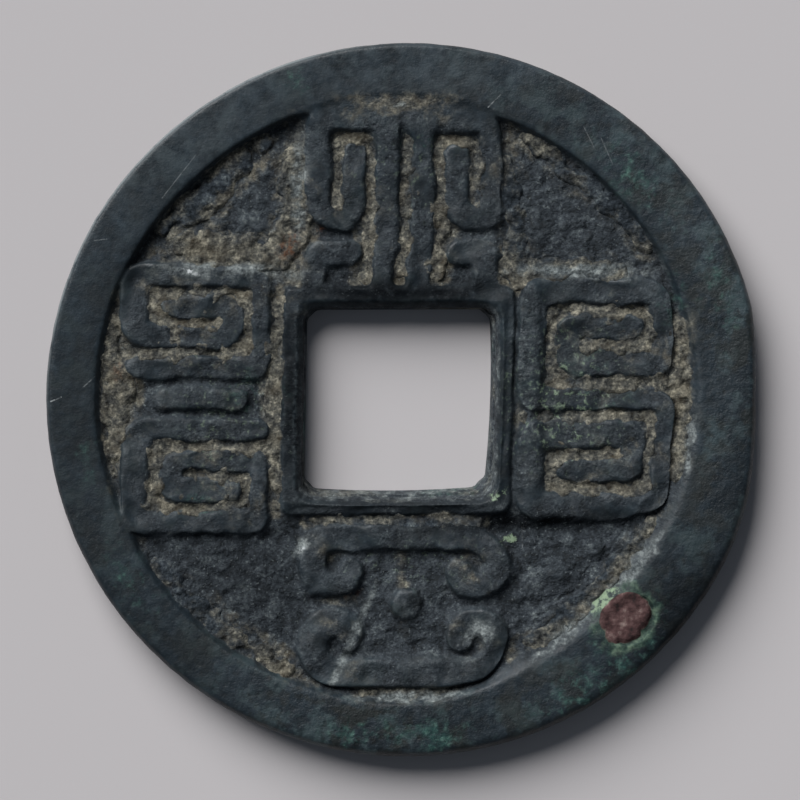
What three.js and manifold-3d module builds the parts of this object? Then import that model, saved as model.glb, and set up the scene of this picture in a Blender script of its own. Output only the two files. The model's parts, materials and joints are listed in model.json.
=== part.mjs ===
// A cast bronze cash coin with a square hole, lying face up, and the packed earth and mineral crust on it.
// Units are millimetres and +Z is up. The origin is the centre of the coin's back, which it lies on.
// The coin itself is one casting: rims, field and relief are poured together. What came on later, the
// earth in the recesses and the crust in the corrosion pit, are separate solids that lie on the metal.

import * as THREE from "three";
import { mergeVertices } from "three/addons/utils/BufferGeometryUtils.js";
import Module from "manifold-3d";

const degrees = THREE.MathUtils.degToRad;

// The blank
const coinDiameter = 24.6;
const coinThickness = 1.45;
const edgeRound = 0.2;
const faceRimWidth = 2.1;
const faceRecess = 0.42;
const backRimWidth = 2.5;
const backRecess = 0.26;
const rimDraft = 0.14;

// The square hole and the narrow rims round it
const holeWidth = 6.4;
const holeCorner = 0.3;
const innerRimWidth = 0.75;
const innerRimHeight = 0.38;
const innerRimCorner = 0.35;
const backInnerRimWidth = 0.6;
const backShoulderDrop = 0.12;
const backShoulderWidth = 0.1;

// The relief on the face
const reliefHeight = 0.36;
const reliefShoulderDrop = 0.2;
const reliefShoulderWidth = 0.13;

// The frets stand beside the hole, each drawn on a grid. Its nearest line keeps one distance from the
// inner rim, its outer corners keep one from the outer rim, and it is longer or shorter than the
// inner rim's side. The channels between its strokes have one width.
const fretChannel = 0.43;
const fretBend = 0.36;
const topFretFromInnerRim = 0;
const topFretFromOuterRim = 0.25;
const topFretShorter = 2.0;
const rightFretFromInnerRim = 0.5;
const rightFretFromOuterRim = 0.5;
const rightFretShorter = 0.5;
const leftFretFromInnerRim = 0.85;
const leftFretFromOuterRim = 0.2;
const leftFretLonger = 0.5;

// The scroll below the hole
const scrollStroke = 0.74;
const scrollFromInnerRim = 0.42;
const scrollInset = 0.6;
const scrollCurlRadius = 1.0;
const scrollCurlEndRadius = 0.52;
const scrollCurlTurn = degrees(260);
const scrollFromOuterRim = 0.25;
const pearlRadius = 0.5;

// The corrosion pit on the rim and the crust in it
const pitAngle = degrees(-44.5);
const pitWall = 0.05;
const pitLength = 1.9;
const pitWidth = 1.35;
const pitDepth = 0.12;
const crustBelowRim = 0.02;

// The earth
const earthDepth = 0.15;
const earthShoulder = 0.06;
const earthClearance = 0.03;
const earthFromStroke = 0.08;
const earthStripEndGap = 0.6;
const upperLeftEarthWidth = 0.9;
const upperRightEarthWidth = 0.5;

// The drifts of earth along the outer rim: how wide they are at their ends, and then the degrees that
// each runs between and its width in the middle
const driftEndWidth = 0.12;
const rimDrifts = {
  upper_left: { from: degrees(118), to: degrees(146), width: 0.9 },
  upper_right: { from: degrees(32), to: degrees(66), width: 0.5 },
  right: { from: degrees(-16), to: degrees(16), width: 0.7 },
  lower_right: { from: degrees(-66), to: degrees(-25), width: 0.6 },
  bottom: { from: degrees(-98), to: degrees(-82), width: 0.5 },
  lower_left: { from: degrees(213), to: degrees(247), width: 0.45 },
  left: { from: degrees(165), to: degrees(195), width: 0.6 },
};

// How finely round shapes are cut
const turnSegments = 96;
const bendSegments = 3;
const capSegments = 4;
const curlSegments = 16;
const gentleTurn = degrees(35);
const driftSegments = 14;
const ovalSegments = 24;

// Worked out from the sizes above
const coinRadius = coinDiameter / 2;
const faceFieldRadius = coinRadius - faceRimWidth;
const fieldTop = coinThickness - faceRecess;
const innerRimSide = holeWidth + 2 * innerRimWidth;
const innerRimHalf = innerRimSide / 2;
const buried = (fieldTop - backRecess) / 2;
const aboveAll = 2 * coinThickness;

const wasm = await Module();
wasm.setup();

// A closed geometry as a solid that can be joined and cut.
function solidFrom(geometry) {
  const bare = geometry.index ? geometry.toNonIndexed() : geometry.clone();
  bare.deleteAttribute("normal");
  bare.deleteAttribute("uv");
  const merged = mergeVertices(bare, 1e-5);
  return new wasm.Manifold(
    new wasm.Mesh({
      numProp: 3,
      vertProperties: merged.attributes.position.array,
      triVerts: merged.index.array,
    }),
  );
}

// A solid as a geometry, with flat faces.
function geometryFrom(solid) {
  const made = solid.getMesh();
  const corners = new Float32Array(made.numVert * 3);
  for (let i = 0; i < made.numVert; i++) {
    const start = i * made.numProp;
    corners.set(made.vertProperties.subarray(start, start + 3), i * 3);
  }
  const indexed = new THREE.BufferGeometry();
  indexed.setAttribute("position", new THREE.BufferAttribute(corners, 3));
  indexed.setIndex(new THREE.BufferAttribute(made.triVerts, 1));
  const flat = indexed.toNonIndexed();
  flat.computeVertexNormals();
  return flat;
}

function joined(solids) {
  return solids.reduce((all, next) => all.add(next));
}

// A shape raised from one height to another, with straight walls.
function prism(shape, low, high) {
  const geometry = new THREE.ExtrudeGeometry(shape, { depth: high - low, bevelEnabled: false });
  return solidFrom(geometry.translate(0, 0, low));
}

// A shape raised from one height to another, whose top edge falls away in a rounded shoulder.
function shouldered(shape, low, high, drop, inset) {
  const geometry = new THREE.ExtrudeGeometry(shape, {
    depth: high - low - 2 * drop,
    bevelThickness: drop,
    bevelSize: inset,
    bevelOffset: -inset,
    bevelSegments: 2,
  });
  return solidFrom(geometry.translate(0, 0, low + drop));
}

function roundedSquare(width, corner) {
  const half = width / 2;
  const straight = half - corner;
  const shape = new THREE.Shape();
  shape.absarc(straight, straight, corner, 0, Math.PI / 2);
  shape.absarc(-straight, straight, corner, Math.PI / 2, Math.PI);
  shape.absarc(-straight, -straight, corner, Math.PI, 1.5 * Math.PI);
  shape.absarc(straight, -straight, corner, 1.5 * Math.PI, 2 * Math.PI);
  return new THREE.Shape(shape.getPoints(bendSegments));
}

// One side of a stroke, the left one for side 1 and the right one for side -1. A sharp corner of the line
// is turned on the bend's radius, which its legs may limit, and where the stroke is too wide for that, the
// inside of the corner stays sharp.
function strokeSide(line, half, bend, side) {
  const leg = (i) => line[i].clone().sub(line[i - 1]);
  const normal = (i) => new THREE.Vector2(-leg(i).y, leg(i).x).normalize();
  const points = [normal(1).multiplyScalar(side * half).add(line[0])];
  for (let i = 1; i < line.length - 1; i++) {
    const before = normal(i);
    const after = normal(i + 1);
    const turn = Math.atan2(before.cross(after), before.dot(after));
    const way = Math.sign(turn);
    const mitre = before.clone().add(after).divideScalar(1 + before.dot(after));
    const room = Math.min(leg(i).length(), leg(i + 1).length()) / 2 / Math.tan(Math.abs(turn) / 2);
    const radius = Math.min(bend, room);
    const reach = radius - side * way * half;
    if (reach <= 0 || Math.abs(turn) < gentleTurn) {
      points.push(mitre.multiplyScalar(side * half).add(line[i]));
      continue;
    }
    const centre = mitre.multiplyScalar(way * radius).add(line[i]);
    for (let k = 0; k <= bendSegments; k++) {
      const spoke = before.clone().rotateAround(new THREE.Vector2(), (turn * k) / bendSegments);
      points.push(spoke.multiplyScalar(-way * reach).add(centre));
    }
  }
  const last = line.length - 1;
  points.push(normal(last).multiplyScalar(side * half).add(line[last]));
  return points;
}

// The half round end of a stroke, which it leaves in a direction.
function strokeCap(end, direction, half) {
  const points = [];
  for (let k = 1; k < capSegments; k++) {
    const turn = Math.PI / 2 - (k * Math.PI) / capSegments;
    const spoke = direction.clone().normalize().rotateAround(new THREE.Vector2(), turn);
    points.push(spoke.multiplyScalar(half).add(end));
  }
  return points;
}

// The outline of a stroke of one width along a line, with round ends.
function strokeAlong(line, width, bend) {
  const half = width / 2;
  const last = line.length - 1;
  const outline = [
    ...strokeSide(line, half, bend, 1),
    ...strokeCap(line[last], line[last].clone().sub(line[last - 1]), half),
    ...strokeSide(line, half, bend, -1).reverse(),
    ...strokeCap(line[0], line[0].clone().sub(line[1]), half),
  ];
  return new THREE.Shape(outline.reverse());
}

function mirrored(points) {
  return points.map(([across, up]) => [-across, up]);
}

function turnedOver(points) {
  return points.map(([across, up]) => [-across, -up]);
}

// The frets are drawn on a grid of lines one pitch apart, centred on each fret. Strokes run on the
// grid lines and the earth lies in the channels half way between them.
const fiddlehead = [[-0.5, -2.5], [-0.5, 2.5], [-2.5, 2.5], [-2.5, -0.5], [-1.5, -0.5], [-1.5, 1.5]];
const footHook = [[-2.5, -2.5], [-2.5, -1.5], [-1.5, -1.5]];
const fiddleheadChannel = [[-1, -2.1], [-1, 2], [-2, 2], [-2, 0]];
const stemChannel = [[0, -2.1], [0, 2.2]];
const halfKey = [[0, 0], [-2, 0], [-2, 3], [2, 3], [2, 1], [-1, 1], [-1, 2], [1, 2]];
const halfKeyChannel = [[2, 0.5], [-1.5, 0.5], [-1.5, 2.5], [1.5, 2.5], [1.5, 1.5], [-0.4, 1.5]];
const capSpiral = [[-2, 1], [2, 1], [2, 4], [-2, 4], [-2, 2], [1, 2], [1, 3], [-1, 3]];
const capSpiralChannel = [[-2, 1.5], [1.5, 1.5], [1.5, 3.5], [-1.5, 3.5], [-1.5, 2.5], [0.4, 2.5]];
const middleBar = [[-1.2, 0], [1.2, 0]];

// Lays a fret's grid out on its side of the hole, between the inner rim and the outer one.
function laidOut(fret) {
  const near = innerRimHalf + fret.fromInnerRim;
  const far = Math.sqrt((faceFieldRadius - fret.fromOuterRim) ** 2 - (fret.length / 2) ** 2);
  const beside = fret.side.y === 0;
  const pitch = {
    across: beside ? (far - near) / fret.columns : fret.length / fret.columns,
    up: beside ? fret.length / fret.rows : (far - near) / fret.rows,
  };
  const stroke = Math.min(pitch.across, pitch.up) - fretChannel;
  return { ...fret, pitch, stroke, centre: fret.side.clone().multiplyScalar((near + far) / 2) };
}

const frets = {
  top: laidOut({
    side: new THREE.Vector2(0, 1),
    length: innerRimSide - topFretShorter,
    fromInnerRim: topFretFromInnerRim,
    fromOuterRim: topFretFromOuterRim,
    rows: 5,
    columns: 5,
    strokes: [fiddlehead, mirrored(fiddlehead), footHook, mirrored(footHook)],
    channels: { left: fiddleheadChannel, middle: stemChannel, right: mirrored(fiddleheadChannel) },
  }),
  right: laidOut({
    side: new THREE.Vector2(1, 0),
    length: innerRimSide - rightFretShorter,
    fromInnerRim: rightFretFromInnerRim,
    fromOuterRim: rightFretFromOuterRim,
    rows: 6,
    columns: 4,
    strokes: [halfKey, turnedOver(halfKey)],
    channels: { upper: halfKeyChannel, lower: turnedOver(halfKeyChannel) },
  }),
  left: laidOut({
    side: new THREE.Vector2(-1, 0),
    length: innerRimSide + leftFretLonger,
    fromInnerRim: leftFretFromInnerRim,
    fromOuterRim: leftFretFromOuterRim,
    rows: 8,
    columns: 4,
    strokes: [capSpiral, turnedOver(capSpiral), middleBar],
    channels: { upper: capSpiralChannel, lower: turnedOver(capSpiralChannel) },
  }),
};

// Points of a fret's grid as places on the coin.
function onFret(fret, points) {
  return points.map(([across, up]) => {
    const place = new THREE.Vector2(across * fret.pitch.across, up * fret.pitch.up);
    return place.add(fret.centre);
  });
}

function fretStrokes(grow) {
  return Object.values(frets).flatMap((fret) =>
    fret.strokes.map((points) => strokeAlong(onFret(fret, points), fret.stroke + 2 * grow, fretBend)),
  );
}

// The scroll below the hole: two bars whose ends curl towards each other, and a pearl between them.
const curlCentre = innerRimHalf - scrollInset - scrollCurlRadius;
const scrollReach = faceFieldRadius - scrollFromOuterRim - scrollStroke / 2;
const upperBarHeight = -(innerRimHalf + scrollFromInnerRim + scrollStroke / 2);
const lowerBarHeight = -Math.sqrt(scrollReach ** 2 - curlCentre ** 2);

// One bar, whose ends curl up where the sense is 1 and down where it is -1.
function scrollBar(height, sense) {
  const curl = (sign) => {
    const points = [];
    for (let i = 0; i <= curlSegments; i++) {
      const share = i / curlSegments;
      const turn = Math.PI / 2 - share * scrollCurlTurn;
      const radius = THREE.MathUtils.lerp(scrollCurlRadius, scrollCurlEndRadius, share);
      const across = curlCentre + radius * Math.cos(turn);
      const away = scrollCurlRadius - radius * Math.sin(turn);
      points.push(new THREE.Vector2(sign * across, height + sense * away));
    }
    return points;
  };
  return [...curl(-1).reverse(), ...curl(1)];
}

function pearl(radius) {
  const shape = new THREE.Shape();
  shape.absarc(0, (upperBarHeight + lowerBarHeight) / 2, radius, 0, 2 * Math.PI);
  return new THREE.Shape(shape.getPoints(ovalSegments / 2).slice(1));
}

function scrollShapes(grow) {
  const width = scrollStroke + 2 * grow;
  return [
    strokeAlong(scrollBar(upperBarHeight, -1), width, 0),
    strokeAlong(scrollBar(lowerBarHeight, 1), width, 0),
    pearl(pearlRadius + grow),
  ];
}

function reliefShapes(grow) {
  return [...fretStrokes(grow), ...scrollShapes(grow)];
}

// The turned blank: both fields, both outer rims and the filed, rounded edge.
function blank() {
  const profile = new THREE.Path();
  profile.moveTo(0, backRecess);
  profile.lineTo(coinRadius - backRimWidth - rimDraft, backRecess);
  profile.lineTo(coinRadius - backRimWidth, 0);
  profile.lineTo(coinRadius - edgeRound, 0);
  profile.absarc(coinRadius - edgeRound, edgeRound, edgeRound, -Math.PI / 2, 0);
  profile.lineTo(coinRadius, coinThickness - edgeRound);
  profile.absarc(coinRadius - edgeRound, coinThickness - edgeRound, edgeRound, 0, Math.PI / 2);
  profile.lineTo(faceFieldRadius, coinThickness);
  profile.lineTo(faceFieldRadius - rimDraft, fieldTop);
  profile.lineTo(0, fieldTop);
  const turned = new THREE.LatheGeometry(profile.getPoints(bendSegments), turnSegments);
  return solidFrom(turned.rotateX(Math.PI / 2));
}

// The pit is an oval that lies along the rim, one thin wall away from the rim's inner edge.
function pitShape(grow) {
  const reach = faceFieldRadius + pitWall + pitWidth / 2;
  const centre = new THREE.Vector2(reach, 0).rotateAround(new THREE.Vector2(), pitAngle);
  const shape = new THREE.Shape();
  shape.absellipse(
    centre.x,
    centre.y,
    pitWidth / 2 + grow,
    pitLength / 2 + grow,
    0,
    2 * Math.PI,
    false,
    pitAngle,
  );
  return new THREE.Shape(shape.getPoints(ovalSegments).slice(1));
}

function coinCasting() {
  const faceInnerRim = shouldered(
    roundedSquare(2 * innerRimHalf, innerRimCorner),
    fieldTop - buried,
    fieldTop + innerRimHeight,
    reliefShoulderDrop,
    reliefShoulderWidth,
  );
  const backInnerRim = shouldered(
    roundedSquare(holeWidth + 2 * backInnerRimWidth, innerRimCorner),
    0,
    backRecess + buried,
    backShoulderDrop,
    backShoulderWidth,
  );
  const relief = reliefShapes(0).map((shape) =>
    shouldered(shape, fieldTop - buried, fieldTop + reliefHeight, reliefShoulderDrop, reliefShoulderWidth),
  );
  const hole = prism(roundedSquare(holeWidth, holeCorner), -coinThickness, aboveAll);
  const pit = prism(pitShape(0), coinThickness - pitDepth, aboveAll);
  return joined([blank(), faceInnerRim, backInnerRim, ...relief]).subtract(hole).subtract(pit);
}

// All that stands up from the face field, grown by the clearance that the earth keeps to it.
function earthLimit() {
  const outside = new THREE.Shape();
  outside.absarc(0, 0, coinDiameter, 0, 2 * Math.PI);
  const inside = new THREE.Path();
  inside.absarc(0, 0, faceFieldRadius - rimDraft - earthClearance, 0, 2 * Math.PI);
  const ring = new THREE.Shape(outside.getPoints(turnSegments / 2).slice(1));
  ring.holes.push(new THREE.Path(inside.getPoints(turnSegments / 2).slice(1)));
  const innerRim = roundedSquare(2 * (innerRimHalf + earthClearance), innerRimCorner);
  const shapes = [ring, innerRim, ...reliefShapes(earthClearance)];
  return joined(shapes.map((shape) => prism(shape, 0, aboveAll)));
}

// A drift of earth along the outer rim, widest in the middle.
function driftShape({ from, to, width }) {
  const outer = faceFieldRadius - rimDraft - earthClearance;
  const along = (depth) => {
    const points = [];
    for (let i = 0; i <= driftSegments; i++) {
      const share = i / driftSegments;
      const reach = outer - depth(share);
      const angle = THREE.MathUtils.lerp(from, to, share);
      points.push(new THREE.Vector2(reach * Math.cos(angle), reach * Math.sin(angle)));
    }
    return points;
  };
  const wall = along(() => 0);
  const front = along((share) => THREE.MathUtils.lerp(driftEndWidth, width, Math.sin(Math.PI * share)));
  return new THREE.Shape([...wall, ...front.reverse()]);
}

// An L of earth in a quarter of the field, along the fret above the hole and the fret beside it.
function cornerShape(fret, width) {
  const away = earthFromStroke + width / 2;
  const beside = (frets.top.length + frets.top.stroke) / 2 + away;
  const above = (fret.length + fret.stroke) / 2 + away;
  const topEnd = innerRimHalf + frets.top.pitch.up * (frets.top.rows - 1.5);
  const sideEnd = innerRimHalf + fret.pitch.across * (fret.columns - 1);
  const line = [[beside, topEnd], [beside, above], [sideEnd, above]];
  const points = line.map(([across, up]) => new THREE.Vector2(fret.side.x * across, up));
  return strokeAlong(points, width, fretBend);
}

function channelShape(fret, points) {
  return strokeAlong(onFret(fret, points), fretChannel - 2 * earthClearance, fretBend);
}

// A straight strip of earth that fills the gap between two edges along a side of the inner rim.
function stripShape(from, to, length, upright) {
  const width = to - from - 2 * earthClearance;
  const reach = length / 2 - earthStripEndGap;
  const middle = (from + to) / 2;
  const ends = [-reach, reach].map((end) =>
    upright ? new THREE.Vector2(-middle, end) : new THREE.Vector2(end, -middle),
  );
  return strokeAlong(ends, width, 0);
}

const castBronze = new THREE.MeshStandardMaterial({ color: "#2c3331", metalness: 0.75, roughness: 0.5 });
const packedEarth = new THREE.MeshStandardMaterial({ color: "#857a5f", metalness: 0, roughness: 0.95 });
const redOxide = new THREE.MeshStandardMaterial({ color: "#5b3230", metalness: 0, roughness: 0.85 });

function piece(name, solid, material) {
  const mesh = new THREE.Mesh(geometryFrom(solid), material);
  mesh.name = name;
  return mesh;
}

const limit = earthLimit();

function earth(name, shape) {
  const heap = shouldered(shape, 0, fieldTop + earthDepth, earthShoulder, earthShoulder);
  return piece(name, heap.trimByPlane([0, 0, 1], fieldTop).subtract(limit), packedEarth);
}

const coin = new THREE.Group();
coin.add(piece("coin_casting", coinCasting(), castBronze));
for (const [place, fret] of Object.entries(frets))
  for (const [part, points] of Object.entries(fret.channels))
    coin.add(earth(`earth_${place}_fret_${part}`, channelShape(fret, points)));
for (const [place, drift] of Object.entries(rimDrifts)) coin.add(earth(`earth_rim_${place}`, driftShape(drift)));
coin.add(earth("earth_corner_upper_left", cornerShape(frets.left, upperLeftEarthWidth)));
coin.add(earth("earth_corner_upper_right", cornerShape(frets.right, upperRightEarthWidth)));
const leftFretEdge = innerRimHalf + leftFretFromInnerRim - frets.left.stroke / 2;
coin.add(earth("earth_beside_left_fret", stripShape(innerRimHalf, leftFretEdge, innerRimSide, true)));
const scrollEdge = innerRimHalf + scrollFromInnerRim;
coin.add(earth("earth_above_scroll", stripShape(innerRimHalf, scrollEdge, innerRimSide - 2 * scrollInset, false)));
coin.add(
  piece(
    "oxide_crust_in_pit",
    prism(pitShape(-earthClearance), coinThickness - pitDepth, coinThickness - crustBelowRim),
    redOxide,
  ),
);

export default coin;
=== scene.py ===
"""A worn cast bronze coin with a square hole, its patina, packed earth and red crust, on a pale floor.

The metal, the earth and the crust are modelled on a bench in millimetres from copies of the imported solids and
then brought down to metres, with their places in their meshes.
"""

import json
import logging
import math
from dataclasses import dataclass
from enum import Enum
from typing import Any

import bpy
import numpy as np
from mathutils import Matrix, Vector, kdtree, noise
from mathutils.bvhtree import BVHTree

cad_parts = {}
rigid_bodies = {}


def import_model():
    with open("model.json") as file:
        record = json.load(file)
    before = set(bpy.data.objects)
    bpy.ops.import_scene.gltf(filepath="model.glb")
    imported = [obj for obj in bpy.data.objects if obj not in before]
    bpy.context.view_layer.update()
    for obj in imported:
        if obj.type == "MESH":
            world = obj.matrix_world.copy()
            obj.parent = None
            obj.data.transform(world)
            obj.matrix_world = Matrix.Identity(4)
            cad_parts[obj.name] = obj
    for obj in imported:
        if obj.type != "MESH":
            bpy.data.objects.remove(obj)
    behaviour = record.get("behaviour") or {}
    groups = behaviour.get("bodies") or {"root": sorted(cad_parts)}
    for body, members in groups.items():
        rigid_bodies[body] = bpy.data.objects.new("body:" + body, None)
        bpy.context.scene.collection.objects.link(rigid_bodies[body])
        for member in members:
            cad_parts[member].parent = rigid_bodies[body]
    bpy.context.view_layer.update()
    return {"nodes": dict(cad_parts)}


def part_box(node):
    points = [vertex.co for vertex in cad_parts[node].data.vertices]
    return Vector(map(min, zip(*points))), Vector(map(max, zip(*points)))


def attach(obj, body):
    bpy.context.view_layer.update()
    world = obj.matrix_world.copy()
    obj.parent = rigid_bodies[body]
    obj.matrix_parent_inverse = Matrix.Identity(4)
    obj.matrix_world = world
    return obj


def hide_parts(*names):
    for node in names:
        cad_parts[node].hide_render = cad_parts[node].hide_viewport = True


LOG = logging.getLogger("coin")
MM = 0.001
BODY = "root"
CASTING_NODE = "coin_casting"
CRUST_NODE = "oxide_crust_in_pit"
EARTH_PREFIX = "earth_"
MERGE_WITHIN_MM = 0.0005
TINY = 1e-6

Span = tuple[float, float]
Pairs = tuple[tuple[float, float], ...]
Stops = tuple[tuple[float, str], ...]


class Slot(Enum):
    """The material slots of the record."""

    BRONZE = "patinated_bronze"
    EARTH = "packed_earth"
    OXIDE = "red_oxide"


def linear(code: str) -> tuple[float, float, float, float]:
    """Turn an sRGB hex colour into a linear one.

    Args:
        code: The colour as "#rrggbb".

    Returns:
        Red, green, blue and an alpha of 1.
    """
    shares = [int(code[i : i + 2], 16) / 255 for i in (1, 3, 5)]
    red, green, blue = (s / 12.92 if s <= 0.04045 else ((s + 0.055) / 1.055) ** 2.4 for s in shares)
    return red, green, blue, 1.0


def add_node(
    tree: bpy.types.NodeTree, kind: str, inputs: dict | None = None, **settings: Any
) -> bpy.types.Node:
    """Add one node to a tree.

    Args:
        tree: The node tree.
        kind: The node's type name.
        inputs: For a socket's name or number, a value or the socket that feeds it.
        **settings: The node's own settings.

    Returns:
        The new node.
    """
    node = tree.nodes.new(kind)
    for name, value in settings.items():
        setattr(node, name, value)
    for socket, value in (inputs or {}).items():
        if isinstance(value, bpy.types.NodeSocket):
            tree.links.new(value, node.inputs[socket])
        else:
            node.inputs[socket].default_value = value
    return node


def smooth_share(values: np.ndarray, low: float, high: float) -> np.ndarray:
    """Give a share that rises smoothly from 0 at low to 1 at high, or falls where high is the lower.

    Args:
        values: Any numbers.
        low: The value at 0.
        high: The value at 1.

    Returns:
        The shares.
    """
    share = np.clip((values - low) / (high - low), 0, 1)
    return share * share * (3 - 2 * share)


def at_least(least: float, share: np.ndarray) -> np.ndarray:
    """Squeeze a share from 0 to 1 so that it starts at a least value."""
    return least + (1 - least) * share


def lower_of(values: np.ndarray, limit: np.ndarray, blend: float) -> np.ndarray:
    """Hold values under a limit, with a soft turn of the given breadth between the two."""
    share = np.clip(0.5 + 0.5 * (limit - values) / blend, 0, 1)
    return limit * (1 - share) + values * share - blend * share * (1 - share)


def rough(points: np.ndarray, size: float, octaves: int, seed: float) -> np.ndarray:
    """Sample a fractal noise.

    Args:
        points: Places in millimetres.
        size: The size of its largest lumps in millimetres.
        octaves: How many noises, each twice as fine, are laid on each other.
        seed: Where in the noise the sample starts.

    Returns:
        Values about 0, mostly within 1.
    """
    shifted = points / size + seed
    return np.array([noise.fractal(Vector(p), 1.0, 2.0, octaves) for p in shifted.tolist()])


def corners_of(mesh: bpy.types.Mesh) -> np.ndarray:
    """Read a mesh's vertices as rows of three numbers."""
    flat = np.empty(len(mesh.vertices) * 3, np.float32)
    mesh.vertices.foreach_get("co", flat)
    return flat.reshape(-1, 3).astype(float)


def normals_of(mesh: bpy.types.Mesh) -> np.ndarray:
    """Read the directions that a mesh's vertices face."""
    flat = np.empty(len(mesh.vertices) * 3, np.float32)
    mesh.vertices.foreach_get("normal", flat)
    return flat.reshape(-1, 3).astype(float)


def set_corners(mesh: bpy.types.Mesh, points: np.ndarray) -> None:
    """Write a mesh's vertices from rows of three numbers."""
    mesh.vertices.foreach_set("co", points.astype(np.float32).ravel())
    mesh.update()


def plan_length(rows: np.ndarray) -> np.ndarray:
    """Measure how far points lie from the coin's middle, or how long directions are, in plan."""
    return np.hypot(rows[:, 0], rows[:, 1])


def plan_square(points: np.ndarray) -> np.ndarray:
    """Measure half the side of the square about the coin's middle that each point lies on."""
    return np.abs(points[:, :2]).max(axis=1)


def outward(rows: np.ndarray) -> np.ndarray:
    """Give the directions of rows in plan, each of length 1."""
    return rows[:, :2] / np.maximum(plan_length(rows), TINY)[:, None]


def angles_of(points: np.ndarray) -> np.ndarray:
    """Give the angles at which points lie, in degrees from +X."""
    return np.degrees(np.arctan2(points[:, 1], points[:, 0])) % 360


def paint(mesh: bpy.types.Mesh, name: str, values: np.ndarray) -> None:
    """Keep one number for each vertex under a name that materials can read."""
    layer = mesh.attributes.new(name, "FLOAT", "POINT")
    layer.data.foreach_set("value", values.astype(np.float32))


def apart(points: np.ndarray, others: np.ndarray) -> np.ndarray:
    """Say how far each point lies from the nearest of some others, in plan."""
    tree = kdtree.KDTree(len(others))
    for index, (across, up, _) in enumerate(others.tolist()):
        tree.insert((across, up, 0), index)
    tree.balance()
    return np.array([tree.find((across, up, 0))[2] for across, up, _ in points.tolist()])


def only(piece: bpy.types.Object) -> None:
    """Select one object and nothing else."""
    for other in bpy.context.scene.objects:
        other.select_set(False)
    piece.select_set(True)
    bpy.context.view_layer.objects.active = piece


def bench_copy(node: bpy.types.Object, name: str) -> bpy.types.Object:
    """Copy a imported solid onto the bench, in millimetres and with its loose triangles merged.

    Args:
        node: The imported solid.
        name: The new piece's name.

    Returns:
        The copy.
    """
    mesh = node.data.copy()
    mesh.materials.clear()
    mesh.transform(Matrix.Scale(1 / MM, 4))
    piece = bpy.data.objects.new(name, mesh)
    bpy.context.scene.collection.objects.link(piece)
    only(piece)
    bpy.ops.object.mode_set(mode="EDIT")
    bpy.ops.mesh.select_all(action="SELECT")
    bpy.ops.mesh.remove_doubles(threshold=MERGE_WITHIN_MM)
    bpy.ops.object.mode_set(mode="OBJECT")
    return piece


def apply_modifier(piece: bpy.types.Object, kind: str, **settings: Any) -> None:
    """Put a modifier on a piece and apply it.

    Args:
        piece: The piece.
        kind: The modifier's type.
        **settings: The modifier's own settings.
    """
    modifier = piece.modifiers.new(kind.lower(), kind)
    for name, value in settings.items():
        setattr(modifier, name, value)
    only(piece)
    bpy.ops.object.modifier_apply(modifier=modifier.name)


def weigh(piece: bpy.types.Object, name: str, weights: np.ndarray, steps: int = 16) -> str:
    """Keep weights for a modifier, in a few steps.

    Args:
        piece: The piece.
        name: The vertex group's name.
        weights: One weight for each vertex, from 0 to 1.
        steps: How many different weights are kept.

    Returns:
        The group's name.
    """
    group = piece.vertex_groups.new(name=name)
    stepped = np.round(np.clip(weights, 0, 1) * steps).astype(int)
    for step in range(1, steps + 1):
        group.add(np.nonzero(stepped == step)[0].tolist(), step / steps, "REPLACE")
    return group.name


def surface_of(mesh: bpy.types.Mesh) -> BVHTree:
    """Make a mesh's surface ready for quick measuring."""
    return BVHTree.FromPolygons(
        [tuple(p) for p in corners_of(mesh).tolist()], [tuple(face.vertices) for face in mesh.polygons]
    )


def triangle_count(mesh: bpy.types.Mesh) -> int:
    """Count a mesh's triangles."""
    return sum(len(face.vertices) - 2 for face in mesh.polygons)


def off_the_bench(piece: bpy.types.Object, material: bpy.types.Material, node: str) -> None:
    """Bring a finished piece to metres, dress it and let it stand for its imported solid.

    Args:
        piece: The finished piece.
        material: Its finish.
        node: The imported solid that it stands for.
    """
    piece.data.transform(Matrix.Scale(MM, 4))
    piece.data.materials.append(material)
    only(piece)
    bpy.ops.object.shade_smooth()
    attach(piece, BODY)
    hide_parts(node)
    LOG.info("%s: %d triangles", piece.name, triangle_count(piece.data))


@dataclass(frozen=True)
class Grain:
    """A noise over the coin's plan, about a mean and held between limits. Its size is in millimetres."""

    size: float
    octaves: int
    seed: float
    height: float = 1.0
    mean: float = 0.0
    least: float = -math.inf
    most: float = math.inf

    def at(self, points: np.ndarray, upright: float = 0.0) -> np.ndarray:
        """Sample the noise at some points, whose heights count by the share upright."""
        raised = rough(points * [1, 1, upright], self.size, self.octaves, self.seed) * self.height
        return np.clip(self.mean + raised, self.least, self.most)


@dataclass(frozen=True)
class Patch:
    """A soft oval place on the coin's face, in millimetres from its centre and degrees from its +X."""

    across: float
    up: float
    half_length: float
    half_breadth: float
    turn: float = 0.0
    strength: float = 1.0
    fall_off: float = 0.8

    def weight(self, points: np.ndarray) -> np.ndarray:
        """Say how strong the patch is at each point, from 0 to its strength."""
        turn = math.radians(self.turn)
        away = points[:, :2] - np.array([self.across, self.up])
        along = away[:, 0] * math.cos(turn) + away[:, 1] * math.sin(turn)
        beside = away[:, 1] * math.cos(turn) - away[:, 0] * math.sin(turn)
        reach = (along / self.half_length) ** 2 + (beside / self.half_breadth) ** 2
        return self.strength * np.exp(-reach * self.fall_off)


Patches = tuple[Patch, ...]


def patches(*rows: tuple[float, ...]) -> Patches:
    """Make patches from rows of across, up, half length, half breadth, turn and strength."""
    return tuple(Patch(*row) for row in rows)


def strongest(places: Patches, points: np.ndarray) -> np.ndarray:
    """Say how strong the strongest of some patches is at each point."""
    return np.max([patch.weight(points) for patch in places], axis=0)


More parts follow.
